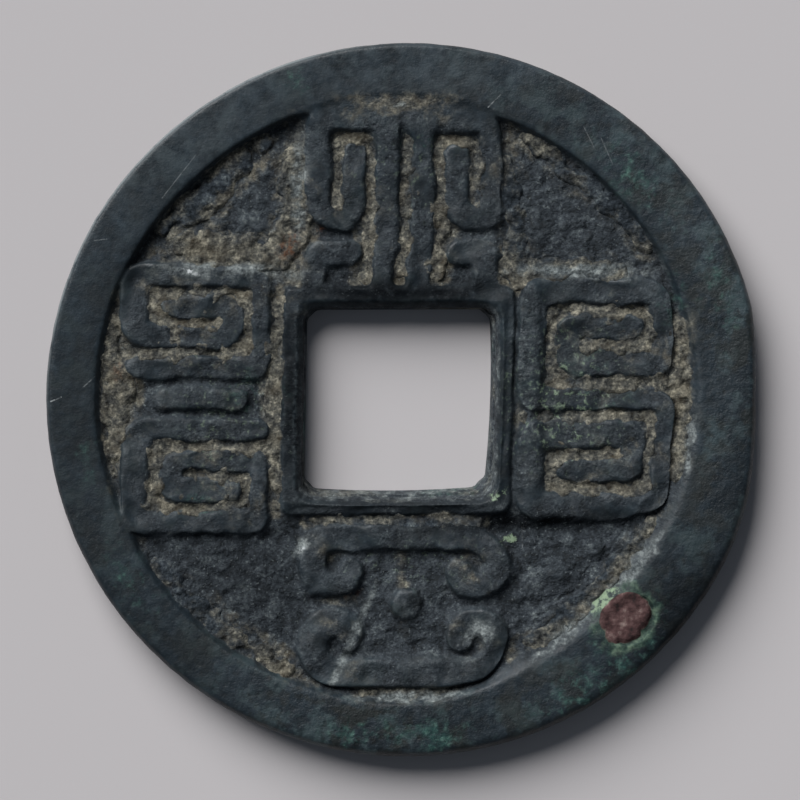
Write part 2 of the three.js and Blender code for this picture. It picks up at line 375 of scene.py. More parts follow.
def summed(places: Patches, points: np.ndarray) -> np.ndarray:
    """Say how strong some patches are together at each point."""
    return np.sum([patch.weight(points) for patch in places], axis=0)


def around(table: Pairs, points: np.ndarray) -> np.ndarray:
    """Read a table of angle in degrees and value at the angles where points lie."""
    known, values = zip(*table)
    return np.interp(angles_of(points), known, values, period=360)


@dataclass(frozen=True)
class Ageing:
    """What casting, filing and wear did to the coin's plan, in millimetres. It moves every piece alike."""

    radius: float
    thickness: float
    field_top: float = 1.03
    rim_inner: float = 10.2
    hole_half: float = 3.2
    inner_rim_half: float = 3.95
    outline: Pairs = (
        (0, 12.0), (7, 12.1), (15, 12.28), (30, 12.31), (45, 12.29), (60, 12.25), (75, 12.21), (95, 12.16),
        (120, 12.17), (135, 12.19), (150, 12.25), (180, 12.29), (225, 12.25), (255, 12.25), (285, 12.28),
        (300, 12.31), (335, 12.31), (344, 12.23), (352, 12.08),
    )
    rim_edge: Pairs = (
        (0, 10.1), (30, 10.08), (60, 10.14), (75, 10.25), (90, 10.38), (110, 10.42), (135, 10.43),
        (150, 10.53), (160, 10.64), (180, 10.64), (210, 10.6), (235, 10.58), (250, 10.5), (275, 10.48),
        (284, 10.3), (293, 10.13), (315, 10.05), (345, 10.05),
    )
    # How far the foot of the rim's inner wall runs out into the field
    wall_foot: Pairs = (
        (0, 0.34), (20, 0.2), (40, 0.1), (70, 0.12), (90, 0.1), (150, 0.1), (165, 0.14), (200, 0.16),
        (245, 0.18), (285, 0.15), (293, 0.55), (330, 0.6), (345, 0.4),
    )
    # The corners of the hole at the back and at the face, anticlockwise from the lower left one
    hole_back: Pairs = ((-3.45, -3.03), (2.68, -2.98), (2.88, 3.06), (-3.34, 3.04))
    hole_face: Pairs = ((-3.57, -3.45), (3.01, -3.41), (3.16, 3.13), (-3.47, 3.11))
    hole_bow: float = 0.13
    bow_lost_at_face: float = 0.4
    hole_edge_reach: float = 0.6
    hole_pull_reach: float = 2.6
    corner_reach: float = 0.5
    corner_pull: float = 0.15
    # The heights between which the face's own plan takes over from the back's
    face_heights: Span = (0.35, 0.95)
    # How far outside the rim's inner wall the pulls on it grow and fade
    wall_pull_grows: Span = (-2.0, -0.1)
    wall_pull_fades: float = 0.5
    wall_pull_ends: float = 0.25
    foot_fades: Span = (0.5, 0.1)
    outline_pull_grows: float = 0.6
    relief_from: float = 0.7
    relief_clears_hole: Span = (3.5, 4.6)
    relief_clears_rim: Span = (10.1, 9.2)
    wobble: float = 0.14
    wobble_size: float = 1.3
    fray: float = 0.05
    fray_size: float = 0.45
    pull_seeds: Span = (61.0, 67.0)

    def past_wall(self, reach: np.ndarray, low: float, high: float) -> np.ndarray:
        """Give a share that rises between two distances outside the rim's inner wall."""
        return smooth_share(reach, self.rim_inner + low, self.rim_inner + high)

    def hole_pull(self, points: np.ndarray) -> np.ndarray:
        """Say how far the filed hole pulls each point sideways."""
        inside = np.clip(points[:, :2] / self.hole_half, -1, 1)
        right = (1 + inside[:, 0:1]) / 2
        upper = (1 + inside[:, 1:2]) / 2

        def pull(corners: Pairs) -> np.ndarray:
            """Say how far the corners of one end pull each point."""
            low_left, low_right, up_right, up_left = (np.array(corner) for corner in corners)
            low = low_left * (1 - right) + low_right * right
            high = up_left * (1 - right) + up_right * right
            return low * (1 - upper) + high * upper - inside * self.hole_half

        back, face = pull(self.hole_back), pull(self.hole_face)
        height = np.clip(points[:, 2:3] / self.thickness, 0, 1)
        away = plan_square(points)[:, None] - self.hole_half
        wide = 1 - smooth_share(away, self.inner_rim_half - self.hole_half, self.hole_pull_reach)
        near = 1 - smooth_share(away, 0.0, self.hole_edge_reach)
        made = (back + face) / 2 * wide + (face - back) * (height - 0.5) * near
        bow = self.hole_bow * near[:, 0] * (1 - height[:, 0] * self.bow_lost_at_face)
        made[:, 1] -= bow * (inside[:, 1] < 0) * (1 - inside[:, 0] ** 2)
        made[:, 0] += bow * (inside[:, 0] > 0) * (1 - inside[:, 1] ** 2)
        past = (np.abs(inside) - 1) * self.hole_half / self.corner_reach
        corner = np.clip(past + 1, 0, 1).prod(axis=1) ** 2
        made -= np.sign(inside) * (corner * near[:, 0] * self.corner_pull)[:, None]
        return made

    def rim_pull(self, points: np.ndarray) -> np.ndarray:
        """Say how far the uneven rim and outline pull each point outwards."""
        reach, height = plan_length(points), points[:, 2]
        edge = around(self.rim_edge, points) - self.rim_inner
        inside = self.past_wall(reach, *self.wall_pull_grows)
        fading = self.rim_inner + self.wall_pull_fades, self.radius - self.wall_pull_ends
        outside = 1 - smooth_share(reach, *fading)
        below = 1 - np.clip((height - self.field_top) / (self.thickness - self.field_top), 0, 1)
        before = self.past_wall(reach, *self.foot_fades)
        foot = around(self.wall_foot, points) * below * inside * before
        to_edge = smooth_share(reach, self.rim_inner + self.outline_pull_grows, self.radius)
        outer = (around(self.outline, points) - self.radius) * to_edge
        return (edge * inside * outside - foot) * smooth_share(height, *self.face_heights) + outer

    def stroke_pull(self, points: np.ndarray) -> np.ndarray:
        """Say how far the unsteady strokes of the relief pull each point sideways."""
        off_hole = smooth_share(plan_square(points), *self.relief_clears_hole)
        off_rim = smooth_share(plan_length(points), *self.relief_clears_rim)
        where = off_hole * off_rim * (points[:, 2] > self.relief_from)
        pulls = []
        for seed in self.pull_seeds:
            slow = Grain(self.wobble_size, 1, seed, self.wobble)
            fast = Grain(self.fray_size, 2, seed + 2, self.fray)
            pulls.append((slow.at(points) + fast.at(points)) * where)
        return np.stack(pulls, axis=1)

    def moved(self, points: np.ndarray) -> np.ndarray:
        """Move points from the plain solid's places to the worn coin's.

        Args:
            points: Places in millimetres.

        Returns:
            The new places.
        """
        made = points.copy()
        made[:, :2] += self.hole_pull(points) + self.stroke_pull(points)
        made[:, :2] += outward(points) * self.rim_pull(points)[:, None]
        return made


# Where the cast face swells, in patches whose strength is a height
SWELLS = patches(
    (-5.3, 6.3, 1.5, 1.2, 30, 0.1),
    (4.9, 6.0, 1.4, 0.9, -40, 0.07),
    (-5.2, -6.6, 1.8, 1.1, -35, 0.05),
    (4.6, -6.2, 1.9, 0.35, 30, 0.06),
    (5.4, -7.2, 1.6, 0.3, 38, 0.06),
    (2.9, -8.0, 0.7, 0.35, 75, 0.1),
    # The metal that ran together between the relief and the rim
    (-2.0, 10.0, 1.1, 0.5, 8, 0.4),
    (1.9, 10.0, 1.1, 0.5, -8, 0.4),
    (0.0, 9.5, 1.2, 0.4, 0, 0.3),
    (-0.1, 10.15, 2.0, 0.3, 0, 0.25),
    (-10.0, -5.4, 0.5, 1.0, -30, 0.2),
    (4.25, 0.6, 3.0, 0.3, 90, 0.3),
)
# Where it dips
DIPS = patches(
    (-4.0, 8.6, 0.9, 0.35, 70, 0.05),
    (-3.9, 4.9, 0.7, 0.6, 0, 0.06),
    (4.2, 4.5, 0.9, 0.35, 0, 0.06),
    (4.5, -4.4, 2.5, 0.3, 3, 0.08),
    (-4.7, -4.9, 1.4, 0.3, 0, 0.05),
)
# Where the relief is worn down further than elsewhere
WORN = patches(
    (6.7, 1.0, 2.4, 2.4, 0, 0.12),
    (5.6, -2.8, 1.0, 1.0, 0, 0.08),
    (8.6, -1.4, 1.0, 1.6, 0, 0.08),
    (-6.4, 2.6, 2.4, 1.6, 0, 0.09),
    (-7.0, -2.0, 2.4, 2.0, 0, 0.07),
    (2.6, 6.2, 1.0, 2.0, 0, 0.06),
)
# How deep the field lies at the foot of the rim's inner wall
MOAT: Pairs = (
    (0, 0.0), (20, 0.05), (68, 0.06), (76, 0.0), (108, 0.0), (114, 0.14), (150, 0.14), (158, 0.0),
)
# How wide the rim's outer arris is worn round
ROUNDING: Pairs = (
    (0, 0.3), (45, 0.24), (75, 0.16), (100, 0.12), (160, 0.14), (200, 0.24), (250, 0.36), (290, 0.42),
    (330, 0.42),
)
# Earth that is only a film on the metal, or fills in around the modelled earth
EARTH = patches(
    (-3.75, 6.6, 3.2, 0.5, 90),
    (-5.6, 4.75, 2.2, 0.6, 0, 0.65),
    (-7.6, 5.4, 1.6, 0.8, 55, 0.6),
    (-5.9, 7.9, 1.6, 0.4, 40, 0.5),
    (3.55, 9.1, 0.7, 0.3, 90, 0.6),
    (5.4, 7.6, 0.9, 0.45, -30, 0.35),
    (-10.0, 0.0, 4.2, 0.4, 90, 0.6),
    (-8.1, -6.0, 2.2, 0.25, -50, 0.3),
    (9.65, 0.3, 3.4, 0.4, 88, 0.7),
    (0.2, -10.1, 1.8, 0.35, 3, 0.8),
    (-3.9, -9.6, 1.3, 0.3, -28, 0.5),
    (-2.9, -5.2, 0.6, 0.5, 0, 0.6),
    (2.6, -5.3, 0.9, 0.4, 10, 0.45),
    (-0.1, -6.6, 1.2, 0.3, 90, 0.6),
    (2.6, -8.4, 0.9, 0.4, 70, 0.4),
    (-0.1, 10.1, 2.0, 0.3, 0, 1.9),
    (-2.3, -6.8, 0.8, 0.5, 0, 0.35),
)
# Where the earth has fallen away and the dark skin shows through what is left of it
BARED = patches(
    (-5.0, 6.5, 1.3, 0.9, 40, 0.9),
    (5.6, 5.8, 2.8, 2.2, -40, 0.95),
    (4.5, 7.0, 2.2, 1.6, 0, 0.9),
    (4.1, 5.2, 1.0, 1.4, 0, 0.65),
    (0.0, 7.6, 1.8, 1.6, 0, 0.4),
    (-7.6, -6.2, 3.2, 0.9, -50),
    # Bared beside the rim's wall at the upper left, so that the band where the wall's shadow falls shows dark:
    # partly painted shade
    (-6.7, 7.0, 3.4, 0.4, 42, 0.9),
    (6.1, -6.0, 3.6, 0.8, 47),
    (6.9, 7.2, 3.4, 0.9, -46),
    (3.7, 6.4, 2.2, 0.35, 90, 0.6),
    (0.2, -4.6, 3.4, 0.5),
    (5.7, 1.0, 1.6, 3.2, 0, 0.45),
    (2.6, 7.6, 0.9, 1.6, 0, 0.4),
    (-6.4, 0.0, 1.4, 3.4, 0, 0.3),
)
# Pale lime from the soil, and painted sheen on lit flanks and slopes: along the top edges of the two side
# frets, the left leg of the scroll and the slope inside the rim at the lower right
ASH_AND_SHEEN = patches(
    (7.3, -6.65, 3.4, 0.55, 47, 0.7),
    (5.5, -0.4, 2.3, 3.2, 0, 0.22),
    (-6.4, -0.8, 2.4, 3.4, 0, 0.15),
    (5.5, -8.2, 1.6, 0.4, 36, 0.65),
    (5.9, 4.4, 2.3, 0.28, 0, 0.85),
    (-5.8, 4.35, 2.2, 0.28, -3, 0.75),
    (-3.65, 7.4, 2.3, 0.33, 88, 0.6),
    (-1.85, -8.3, 1.9, 0.15, 66, 0.8),
    (0.4, -10.2, 1.9, 0.2, 2, 0.85),
    (0.0, 10.1, 1.7, 0.2, 0, 0.45),
    (9.8, -1.9, 2.0, 0.35, 85, 0.5),
    (2.3, -8.2, 0.9, 0.35, 80, 0.5),
    (-3.5, -5.1, 0.5, 0.25, 35, 0.7),
    (2.9, -7.9, 0.4, 0.3, 60, 0.7),
)
# Green copper salts
MALACHITE = patches(
    (-1.95, -11.5, 0.45, 0.5, 0, 0.62),
    (1.06, -11.56, 0.6, 0.5, 0, 0.68),
    (5.9, -10.0, 1.9, 0.8, 30, 0.42),
    (7.4, -9.0, 1.8, 0.9, 40, 0.38),
    (0.0, -11.4, 4.0, 0.6, 0, 0.35),
    (7.8, 7.6, 2.4, 0.9, -45, 0.38),
    (10.8, 3.6, 2.2, 0.7, 100, 0.36),
    (-9.4, -6.2, 1.8, 0.8, -55, 0.3),
    (-3.6, 10.9, 0.7, 0.45, 0, 0.42),
    (-10.9, -2.0, 1.2, 0.5, 95, 0.3),
    (9.2, 3.4, 0.6, 1.2, -20, 0.4),
    (-5.2, 0.2, 1.2, 1.2, 0, 0.32),
    (-7.0, -3.6, 1.4, 0.8, 0, 0.32),
    (6.4, 0.4, 2.0, 2.0, 0, 0.28),
    (0.5, 8.8, 2.0, 0.6, 0, 0.28),
)
# Pale salts, greenish
PALE = patches(
    (3.6, -4.8, 0.3, 0.14, 10, 0.9),
    (6.75, -6.8, 0.55, 0.35, 47, 0.7),
    (3.2, -3.3, 0.35, 0.2, 30, 0.5),
    (5.4, 0.0, 2.3, 3.0, 0, 0.26),
    (-6.2, -0.5, 2.2, 3.2, 0, 0.18),
    (0.0, 7.6, 2.4, 2.4, 0, 0.16),
    (0.4, -5.6, 3.4, 1.4, 0, 0.16),
)
# Brown stains
RUST = patches(
    (-3.95, 5.2, 0.6, 0.35, 60, 0.45),
    (-9.85, 1.0, 0.5, 0.25, 90, 0.3),
    (-1.95, -6.6, 0.4, 0.25, 0, 0.5),
    (-2.9, 5.9, 0.2, 0.4, 0, 0.4),
)
# A white fleck, and a painted glint on the end of a stroke
FLECKS_AND_GLINTS = patches(
    (-7.33, 4.32, 0.24, 0.055, -14),
    (-3.5, -5.15, 0.2, 0.07, 40, 0.5),
)
# Where the patina is nearly black, and painted shade: on the inner rim, beside the rim's wall at the upper
# left, on the lower rims that turn away from the light and under the lower edges of the side frets
DARK_PATINA_AND_SHADE = patches(
    (-0.2, 3.6, 4.2, 0.5),
    (-3.9, 0.0, 3.8, 0.4, 90, 0.9),
    (-0.2, -3.8, 3.8, 0.42, 0, 0.6),
    (3.4, 0.0, 3.4, 0.2, 90, 0.42),
    (-8.4, -8.2, 4.6, 1.0, -45, 0.4),
    (-6.7, 7.1, 3.4, 0.35, 42, 0.7),
    (8.6, -8.3, 4.2, 0.3, 45, 0.4),
    (9.2, -7.6, 3.9, 1.0, 51, 0.75),
    (-5.4, -6.2, 2.6, 1.6, -40, 0.35),
    (11.4, -2.0, 3.0, 0.5, 84, 0.4),
    (3.4, -4.25, 3.4, 0.3, 2),
    (0.5, -11.3, 5.0, 0.9, 0, 0.32),
    (-11.4, 0.5, 5.0, 0.9, 90, 0.2),
    (5.4, 0.9, 2.4, 2.8, 0, 0.25),
    (-6.2, 0.6, 2.2, 3.4, 0, 0.2),
    (0.0, 7.4, 2.6, 2.6, 0, 0.2),
    (-5.4, -4.6, 1.8, 0.2, 0, 0.5),
)
# How much the patina of the rims has grown coarse
COARSE: Pairs = (
    (0, 0.8), (40, 0.6), (75, 0.35), (110, 0.15), (190, 0.2), (235, 0.45), (265, 0.9), (285, 0.6), (330, 0.5),
)
# Painted sheen: the rim is made lighter at the top, the upper left, the upper right and the right
PAINTED_SHEEN = patches(
    (0.5, 11.3, 4.5, 0.8, 0, 0.8),
    (-6.6, 9.3, 4.0, 0.9, 36, 0.6),
    (9.4, 6.2, 2.6, 0.7, -55, 0.4),
    (11.0, -1.0, 2.4, 0.6, 90, 0.4),
)
# Marks kept on the face only, among them painted shade, painted glints and painted sheen
FACE_MARKS = {"pale": PALE, "fleck_and_glint": FLECKS_AND_GLINTS, "dark_patina_and_shade": DARK_PATINA_AND_SHADE, "painted_sheen": PAINTED_SHEEN}


@dataclass(frozen=True)
class Scratch:
    """One fine scratch across the patina, from one place to another, in millimetres."""

    start: tuple[float, float]
    end: tuple[float, float]
    width: float
    strength: float
    # The share of its width that is full
    core: float = 0.2


SCRATCHES = (
    Scratch((-8.3, 6.85), (-7.07, 8.42), 0.026, 0.16),
    Scratch((-12.1, -0.1), (-11.75, 0.05), 0.035, 0.45),
    Scratch((-11.0, 0.38), (-10.6, 0.74), 0.03, 0.22),
    Scratch((2.84, 9.95), (3.25, 10.37), 0.03, 0.35),
    Scratch((-10.6, 5.4), (-10.2, 5.45), 0.03, 0.28),
    Scratch((4.0, -4.4), (4.02, -5.1), 0.03, 0.28),
    Scratch((6.6, 8.3), (6.1, 9.3), 0.03, 0.12),
    Scratch((7.1, 8.0), (6.7, 8.9), 0.03, 0.12),
)


@dataclass(frozen=True)
class Tint:
    """A colour, and the values of a noise between which it comes in. The noise's size is in millimetres."""

    code: str
    low: float
    high: float
    amount: float = 1.0
    size: float = 0.55
    detail: float = 5.0


@dataclass(frozen=True)
class Bump:
    """A fine relief made by a noise, with its size and depth in millimetres."""

    size: float
    detail: float
    depth: float
    strength: float
    least: float = 0.0


# Noises that several finishes share, by size in millimetres and detail
PATCHY = (0.55, 5.0)
SPECKLED = (0.2, 4.0)


class Palette:
    """A material's node tree, with the few steps that the finishes below share."""

    # How much of a noise its finer octaves keep
    roughness = 0.62
    # How strongly a noise breaks up a deposit, and between which amounts a deposit starts to show
    breaking = 2.4
    trace = (0.02, 0.4)

    def __init__(self, name: str) -> None:
        """Make the material with an empty tree and the piece's own coordinates.

        Args:
            name: The material's name.
        """
        self.material = bpy.data.materials.new(name)
        self.material.use_nodes = True
        self.tree = self.material.node_tree
        self.tree.nodes.clear()
        self.place = self.node("ShaderNodeTexCoord").outputs["Object"]

    def node(self, kind: str, inputs: dict | None = None, **settings: Any) -> bpy.types.Node:
        """Add one node to this material."""
        return add_node(self.tree, kind, inputs, **settings)

    def sum(self, operation: str, first: Any, second: Any, clamp: bool = False) -> bpy.types.NodeSocket:
        """Work one sum on two numbers."""
        settings = {"operation": operation, "use_clamp": clamp}
        return self.node("ShaderNodeMath", {0: first, 1: second}, **settings).outputs[0]

    def share(self, value: Any, low: float, high: float) -> bpy.types.NodeSocket:
        """Turn a value into a share that rises smoothly from 0 at low to 1 at high."""
        inputs = {"Value": value, "From Min": low, "From Max": high}
        return self.node("ShaderNodeMapRange", inputs, interpolation_type="SMOOTHSTEP").outputs[0]

    def blend(self, share: Any, first: Any, second: Any) -> bpy.types.NodeSocket:
        """Blend two colours by the share of the second."""
        return self.node("ShaderNodeMix", {0: share, 6: first, 7: second}, data_type="RGBA").outputs[2]

    def ramp(self, value: Any, stops: Stops) -> bpy.types.NodeSocket:
        """Turn a value into a colour by a few stops of value and sRGB hex colour."""
        node = self.node("ShaderNodeValToRGB", {0: value})
        elements = node.color_ramp.elements
        elements.remove(elements[1])
        elements[0].position = stops[0][0]
        elements[0].color = linear(stops[0][1])
        for place, code in stops[1:]:
            elements.new(place).color = linear(code)
        return node.outputs[0]

    def mark(self, name: str) -> bpy.types.NodeSocket:
        """Read one of the marks that a piece's mesh carries."""
        return self.node("ShaderNodeAttribute", attribute_name=name).outputs["Fac"]

    def grain(self, size: float, detail: float = 4.0) -> bpy.types.NodeSocket:
        """Add a noise whose patches have a real size in millimetres."""
        inputs = {"Vector": self.place, "Scale": 1 / (size * MM), "Detail": detail}
        return self.node("ShaderNodeTexNoise", inputs | {"Roughness": self.roughness}).outputs[0]

    def relief(self, bump: Bump, amount: Any = None, under: Any = None) -> bpy.types.NodeSocket:
        """Raise a fine relief, by the amount if there is one and over another relief if there is one."""
        strength = bump.strength
        if amount is not None:
            strength = self.sum("ADD", self.sum("MULTIPLY", amount, bump.strength), bump.least)
        height = self.grain(bump.size, bump.detail)
        inputs = {"Height": height, "Distance": bump.depth * MM, "Strength": strength}
        if under is not None:
            inputs["Normal"] = under
        return self.node("ShaderNodeBump", inputs).outputs[0]

    def spread(self, tint: Tint, where: Any = 1.0) -> bpy.types.NodeSocket:
        """Say where a tint comes in, before its amount."""
        noise = self.grain(tint.size, tint.detail)
        return self.sum("MULTIPLY", where, self.share(noise, tint.low, tint.high))

    def tinted(self, colour: Any, tint: Tint, where: Any = 1.0) -> bpy.types.NodeSocket:
        """Tint a colour where the tint's noise brings it in."""
        share = self.sum("MULTIPLY", self.spread(tint, where), tint.amount)
        return self.blend(share, colour, linear(tint.code))

    def laid(
        self, colour: Any, tint: Any, amount: Any, breaker: Any, softness: float = 0.4
    ) -> bpy.types.NodeSocket:
        """Lay a deposit over a colour, broken up by a noise where it is thin.

        Args:
            colour: The colour below.
            tint: The deposit's colour.
            amount: How thick the deposit lies, from 0 to 1.
            breaker: The noise.
            softness: How soft its edges are, from 0 to 0.5.

        Returns:
            The socket of the colour with its deposit.
        """
        lift = self.sum("MULTIPLY", self.sum("SUBTRACT", breaker, 0.5), self.breaking)
        share = self.share(self.sum("ADD", amount, lift), 0.5 - softness, 0.5 + softness)
        share = self.sum("MULTIPLY", share, self.share(amount, *self.trace))
        return self.blend(share, colour, tint)

    def scored(self, scratch: Scratch) -> bpy.types.NodeSocket:
        """Say where a scratch is, from 0 to its strength."""
        start, end = (Vector((*place, 0.0)) * MM for place in (scratch.start, scratch.end))
        run = end - start
        wide = scratch.width * MM

        def step(operation: str, inputs: dict, output: int | str = 0) -> bpy.types.NodeSocket:
            """Work one sum on vectors."""
            return self.node("ShaderNodeVectorMath", inputs, operation=operation).outputs[output]

        flat = step("MULTIPLY", {0: self.place, 1: (1, 1, 0)})
        away = step("SUBTRACT", {0: flat, 1: start})
        along = step("DOT_PRODUCT", {0: away, 1: run / run.length_squared}, "Value")
        along = self.sum("ADD", along, 0.0, clamp=True)
        foot = step("SCALE", {0: run, "Scale": along})
        off = step("DISTANCE", {0: away, 1: foot}, "Value")
        return self.sum("MULTIPLY", self.share(off, wide, wide * scratch.core), scratch.strength)

    def finish(self, inputs: dict) -> bpy.types.Material:
        """Close the tree with one shader and give the material."""
        shader = self.node("ShaderNodeBsdfPrincipled", inputs)
        self.node("ShaderNodeOutputMaterial", {"Surface": shader.outputs[0]})
        return self.material


@dataclass(frozen=True)
class Deposits:
    """What burial left on the coin, with one method for each colour. Stops run from pits to grains."""

    loess_stops: Stops = (
        (0.3, "#1c1d1d"), (0.41, "#393a39"), (0.5, "#52524d"), (0.58, "#6c6a61"), (0.7, "#989485"),
    )
    skin_stops: Stops = (
        (0.28, "#14181b"), (0.42, "#23292e"), (0.52, "#31373d"), (0.63, "#474e52"), (0.75, "#6f7677"),
    )
    ash_and_sheen_stops: Stops = ((0.32, "#33383a"), (0.46, "#5b6162"), (0.58, "#7d8484"), (0.72, "#a2a8a6"))
    warm: Tint = Tint("#7d7159", 0.42, 0.68, 0.24, 1.1, 4.0)
    rust: str = "#5d3d2b"
    large_share: float = 0.75
    small_share: float = 0.6
    stretch_shift: float = 0.175

    def loess(self, p: Palette) -> bpy.types.NodeSocket:
        """Loess, a fine yellow silt: matt, greyish tan, granular, with dark gaps."""
        return p.tinted(p.ramp(self.mixed(p, 0.4, 0.12), self.loess_stops), self.warm)

    def skin(self, p: Palette) -> bpy.types.NodeSocket:
        """The rough skin of the cast field: blackish, with pale grit in its grain."""
        return p.ramp(self.mixed(p, 0.45, 0.12), self.skin_stops)

    def ash_and_sheen(self, p: Palette) -> bpy.types.NodeSocket:
        """Lime from the soil: a pale grey, powdery bloom. The same colour also serves for painted sheen."""
        return p.ramp(self.mixed(p, 0.36, 0.1), self.ash_and_sheen_stops)

    def mixed(self, p: Palette, large: float, small: float) -> bpy.types.NodeSocket:
        """Mix a large and a small grain, with sizes in millimetres, and stretch them apart."""
        lumps = p.sum("MULTIPLY", p.grain(large, 4), self.large_share)
        grains = p.sum("MULTIPLY", p.grain(small, 3), self.small_share)
        return p.sum("SUBTRACT", p.sum("ADD", lumps, grains), self.stretch_shift)


@dataclass(frozen=True)
class PatinatedBronze:
    """Tin bronze, sand cast, long buried and then passed from hand to hand.

    A blackish green patina hides the metal: satin where hands smoothed the rims, dull and grainy where the
    cast skin stayed rough, with earth, lime and copper salts held in it. Its colour also carries painted shade
    in hollows, on the inner rim and under the frets, and painted sheen and highlights on the side the light
    comes from.
    """

    metal_stops: Stops = ((0.3, "#141a1f"), (0.45, "#1b242a"), (0.56, "#242e35"), (0.7, "#364148"))
    green_stops: Stops = ((0.38, "#1d3233"), (0.5, "#294643"), (0.62, "#4f6f66"))
    halo_stops: Stops = ((0.38, "#1f2e2a"), (0.5, "#35483f"), (0.62, "#5a6c5c"))
    cloudy: Tint = Tint("#12181b", 0.48, 0.66, 0.55, 2.2, 4.0)
    pale_grit: Tint = Tint("#465659", 0.49, 0.6, 0.7, 1.1, 8.0)
    dark_grit: Tint = Tint("#0d1214", 0.47, 0.33, 1.0, 0.5, 8.0)
    olive: Tint = Tint("#232624", 0.48, 0.57, 0.95, 1.5, 8.0)
    # Painted sheen for the rim
    painted_sheen: Tint = Tint("#485258", 0.3, 0.7, 0.7)
    # Near black, for the dark patina and for painted shade
    dark_patina_and_shade: Tint = Tint("#0b0c0e", 0.1, 0.5, 0.9)
    # Painted highlight for the rim's outer arris on the lit side
    arris: Tint = Tint("#91989a", 0.24, 0.5)
    worn: Tint = Tint("#565f63", 0.4, 0.6, 0.35, *SPECKLED)
    salt_grain: Tint = Tint("#929b9c", 0.64, 0.76, 0.25, 0.1, 1.0)
    scored: Tint = Tint("#c9cecf", 0.36, 0.6, 1.0, *SPECKLED)
    pale_salt: str = "#83967c"
    least_coarse: float = 0.2
    # How strongly hollows are darkened, as painted shade
    shade_in_hollows: float = 0.35
    rim_roughness: float = 0.5
    field_roughness: float = 0.85
    shine: float = 0.32
    polish: float = 0.25
    unevenness: float = 0.4
    coarse_bump: Bump = Bump(0.3, 6.0, 0.16, 0.85, 0.13)
    fine_bump: Bump = Bump(0.08, 2.0, 0.04, 0.65, 0.1)
    bump_of_coarse: float = 0.5
    face_heights: Span = (0.9, 1.1)
    deposits: Deposits = Deposits()

    def material(self) -> bpy.types.Material:
        """Make the material.

        Returns:
            The material, which reads the marks that the casting's mesh carries.
        """
        p = Palette("patinated_bronze")
        recess, coarse = p.mark("recess"), p.mark("coarse")
        # Dark patina and painted shade: near black on the inner rim, beside the rim's wall at the upper left,
        # on the lower rims and under the frets
        dark_patina_and_shade = p.spread(self.dark_patina_and_shade, p.mark("dark_patina_and_shade"))
        colour = p.blend(recess, self._metal(p, coarse), self.deposits.skin(p))
        colour = p.blend(p.sum("MULTIPLY", dark_patina_and_shade, self.dark_patina_and_shade.amount), colour, linear(self.dark_patina_and_shade.code))
        # Painted highlight along the rim's outer arris, on the side the light comes from
        colour = self._buried(p, p.tinted(colour, self.arris, p.mark("arris")))
        # Painted shade: near black where the surface lies below its neighbourhood
        hollow = p.sum("MULTIPLY", p.mark("hollow"), self.shade_in_hollows)
        colour = p.blend(hollow, colour, linear(self.dark_patina_and_shade.code))
        colour = p.tinted(colour, self.worn, p.mark("ridge"))
        colour = p.tinted(colour, self.salt_grain, recess)
        colour = p.tinted(colour, self.scored, self._scores(p))

        crust = p.sum("MAXIMUM", recess, p.sum("MAXIMUM", p.mark("earth"), p.mark("ash_and_sheen")))
        inputs = {"Value": crust, "To Min": self.rim_roughness, "To Max": self.field_roughness}
        steady = p.node("ShaderNodeMapRange", inputs).outputs[0]
        steady = p.sum("SUBTRACT", steady, p.sum("MULTIPLY", p.mark("ridge"), self.polish))
        uneven = p.sum("MULTIPLY", p.sum("SUBTRACT", p.grain(*PATCHY), 0.5), self.unevenness)
        bumpy = p.sum("MAXIMUM", crust, p.sum("MULTIPLY", coarse, self.bump_of_coarse))
        return p.finish(
            {
                "Base Color": colour,
                "Roughness": p.sum("ADD", steady, uneven, clamp=True),
                "Specular IOR Level": p.sum("MULTIPLY", p.sum("SUBTRACT", 1.0, dark_patina_and_shade), self.shine),
                "Normal": p.relief(self.fine_bump, bumpy, p.relief(self.coarse_bump, bumpy)),
            }
        )

    def _metal(self, p: Palette, coarse: bpy.types.NodeSocket) -> bpy.types.NodeSocket:
        """Colour the smooth patina of the rims, and what of it has grown coarse."""
        large = p.sum("MULTIPLY", p.grain(0.9, 6), 0.6)
        small = p.sum("MULTIPLY", p.grain(0.3), 0.4)
        colour = p.tinted(p.ramp(p.sum("ADD", large, small), self.metal_stops), self.cloudy)
        rough_skin = p.sum("MAXIMUM", coarse, self.least_coarse)
        colour = p.tinted(colour, self.pale_grit, rough_skin)
        colour = p.tinted(colour, self.dark_grit, rough_skin)
        colour = p.tinted(colour, self.olive, coarse)
        # Painted sheen: the rim made lighter at the top, the upper left, the upper right and the right
        return p.tinted(colour, self.painted_sheen, p.mark("painted_sheen"))

    def _buried(self, p: Palette, colour: bpy.types.NodeSocket) -> bpy.types.NodeSocket:
        """Lay on what burial left, from the green salts to the white flecks, and painted glints in the flecks'
        colour.
        """
        patch, speck = p.grain(*PATCHY), p.grain(*SPECKLED)
        crystals = p.sum("ADD", p.sum("MULTIPLY", patch, 0.5), p.sum("MULTIPLY", p.grain(0.22, 6), 0.5))
        green = p.ramp(p.grain(0.25, 5), self.green_stops)
        colour = p.laid(colour, green, p.mark("malachite"), crystals, softness=0.3)
        colour = p.laid(colour, self.deposits.loess(p), p.mark("earth"), patch)
        # Lime, and painted sheen on lit flanks and slopes
        colour = p.laid(colour, self.deposits.ash_and_sheen(p), p.mark("ash_and_sheen"), patch)
        halo = p.ramp(p.grain(0.35, 5), self.halo_stops)
        colour = p.laid(colour, halo, p.mark("halo"), patch, softness=0.45)
        colour = p.laid(colour, linear(self.pale_salt), p.mark("pale"), speck, softness=0.22)
        colour = p.laid(colour, linear(self.deposits.rust), p.mark("rust"), speck)
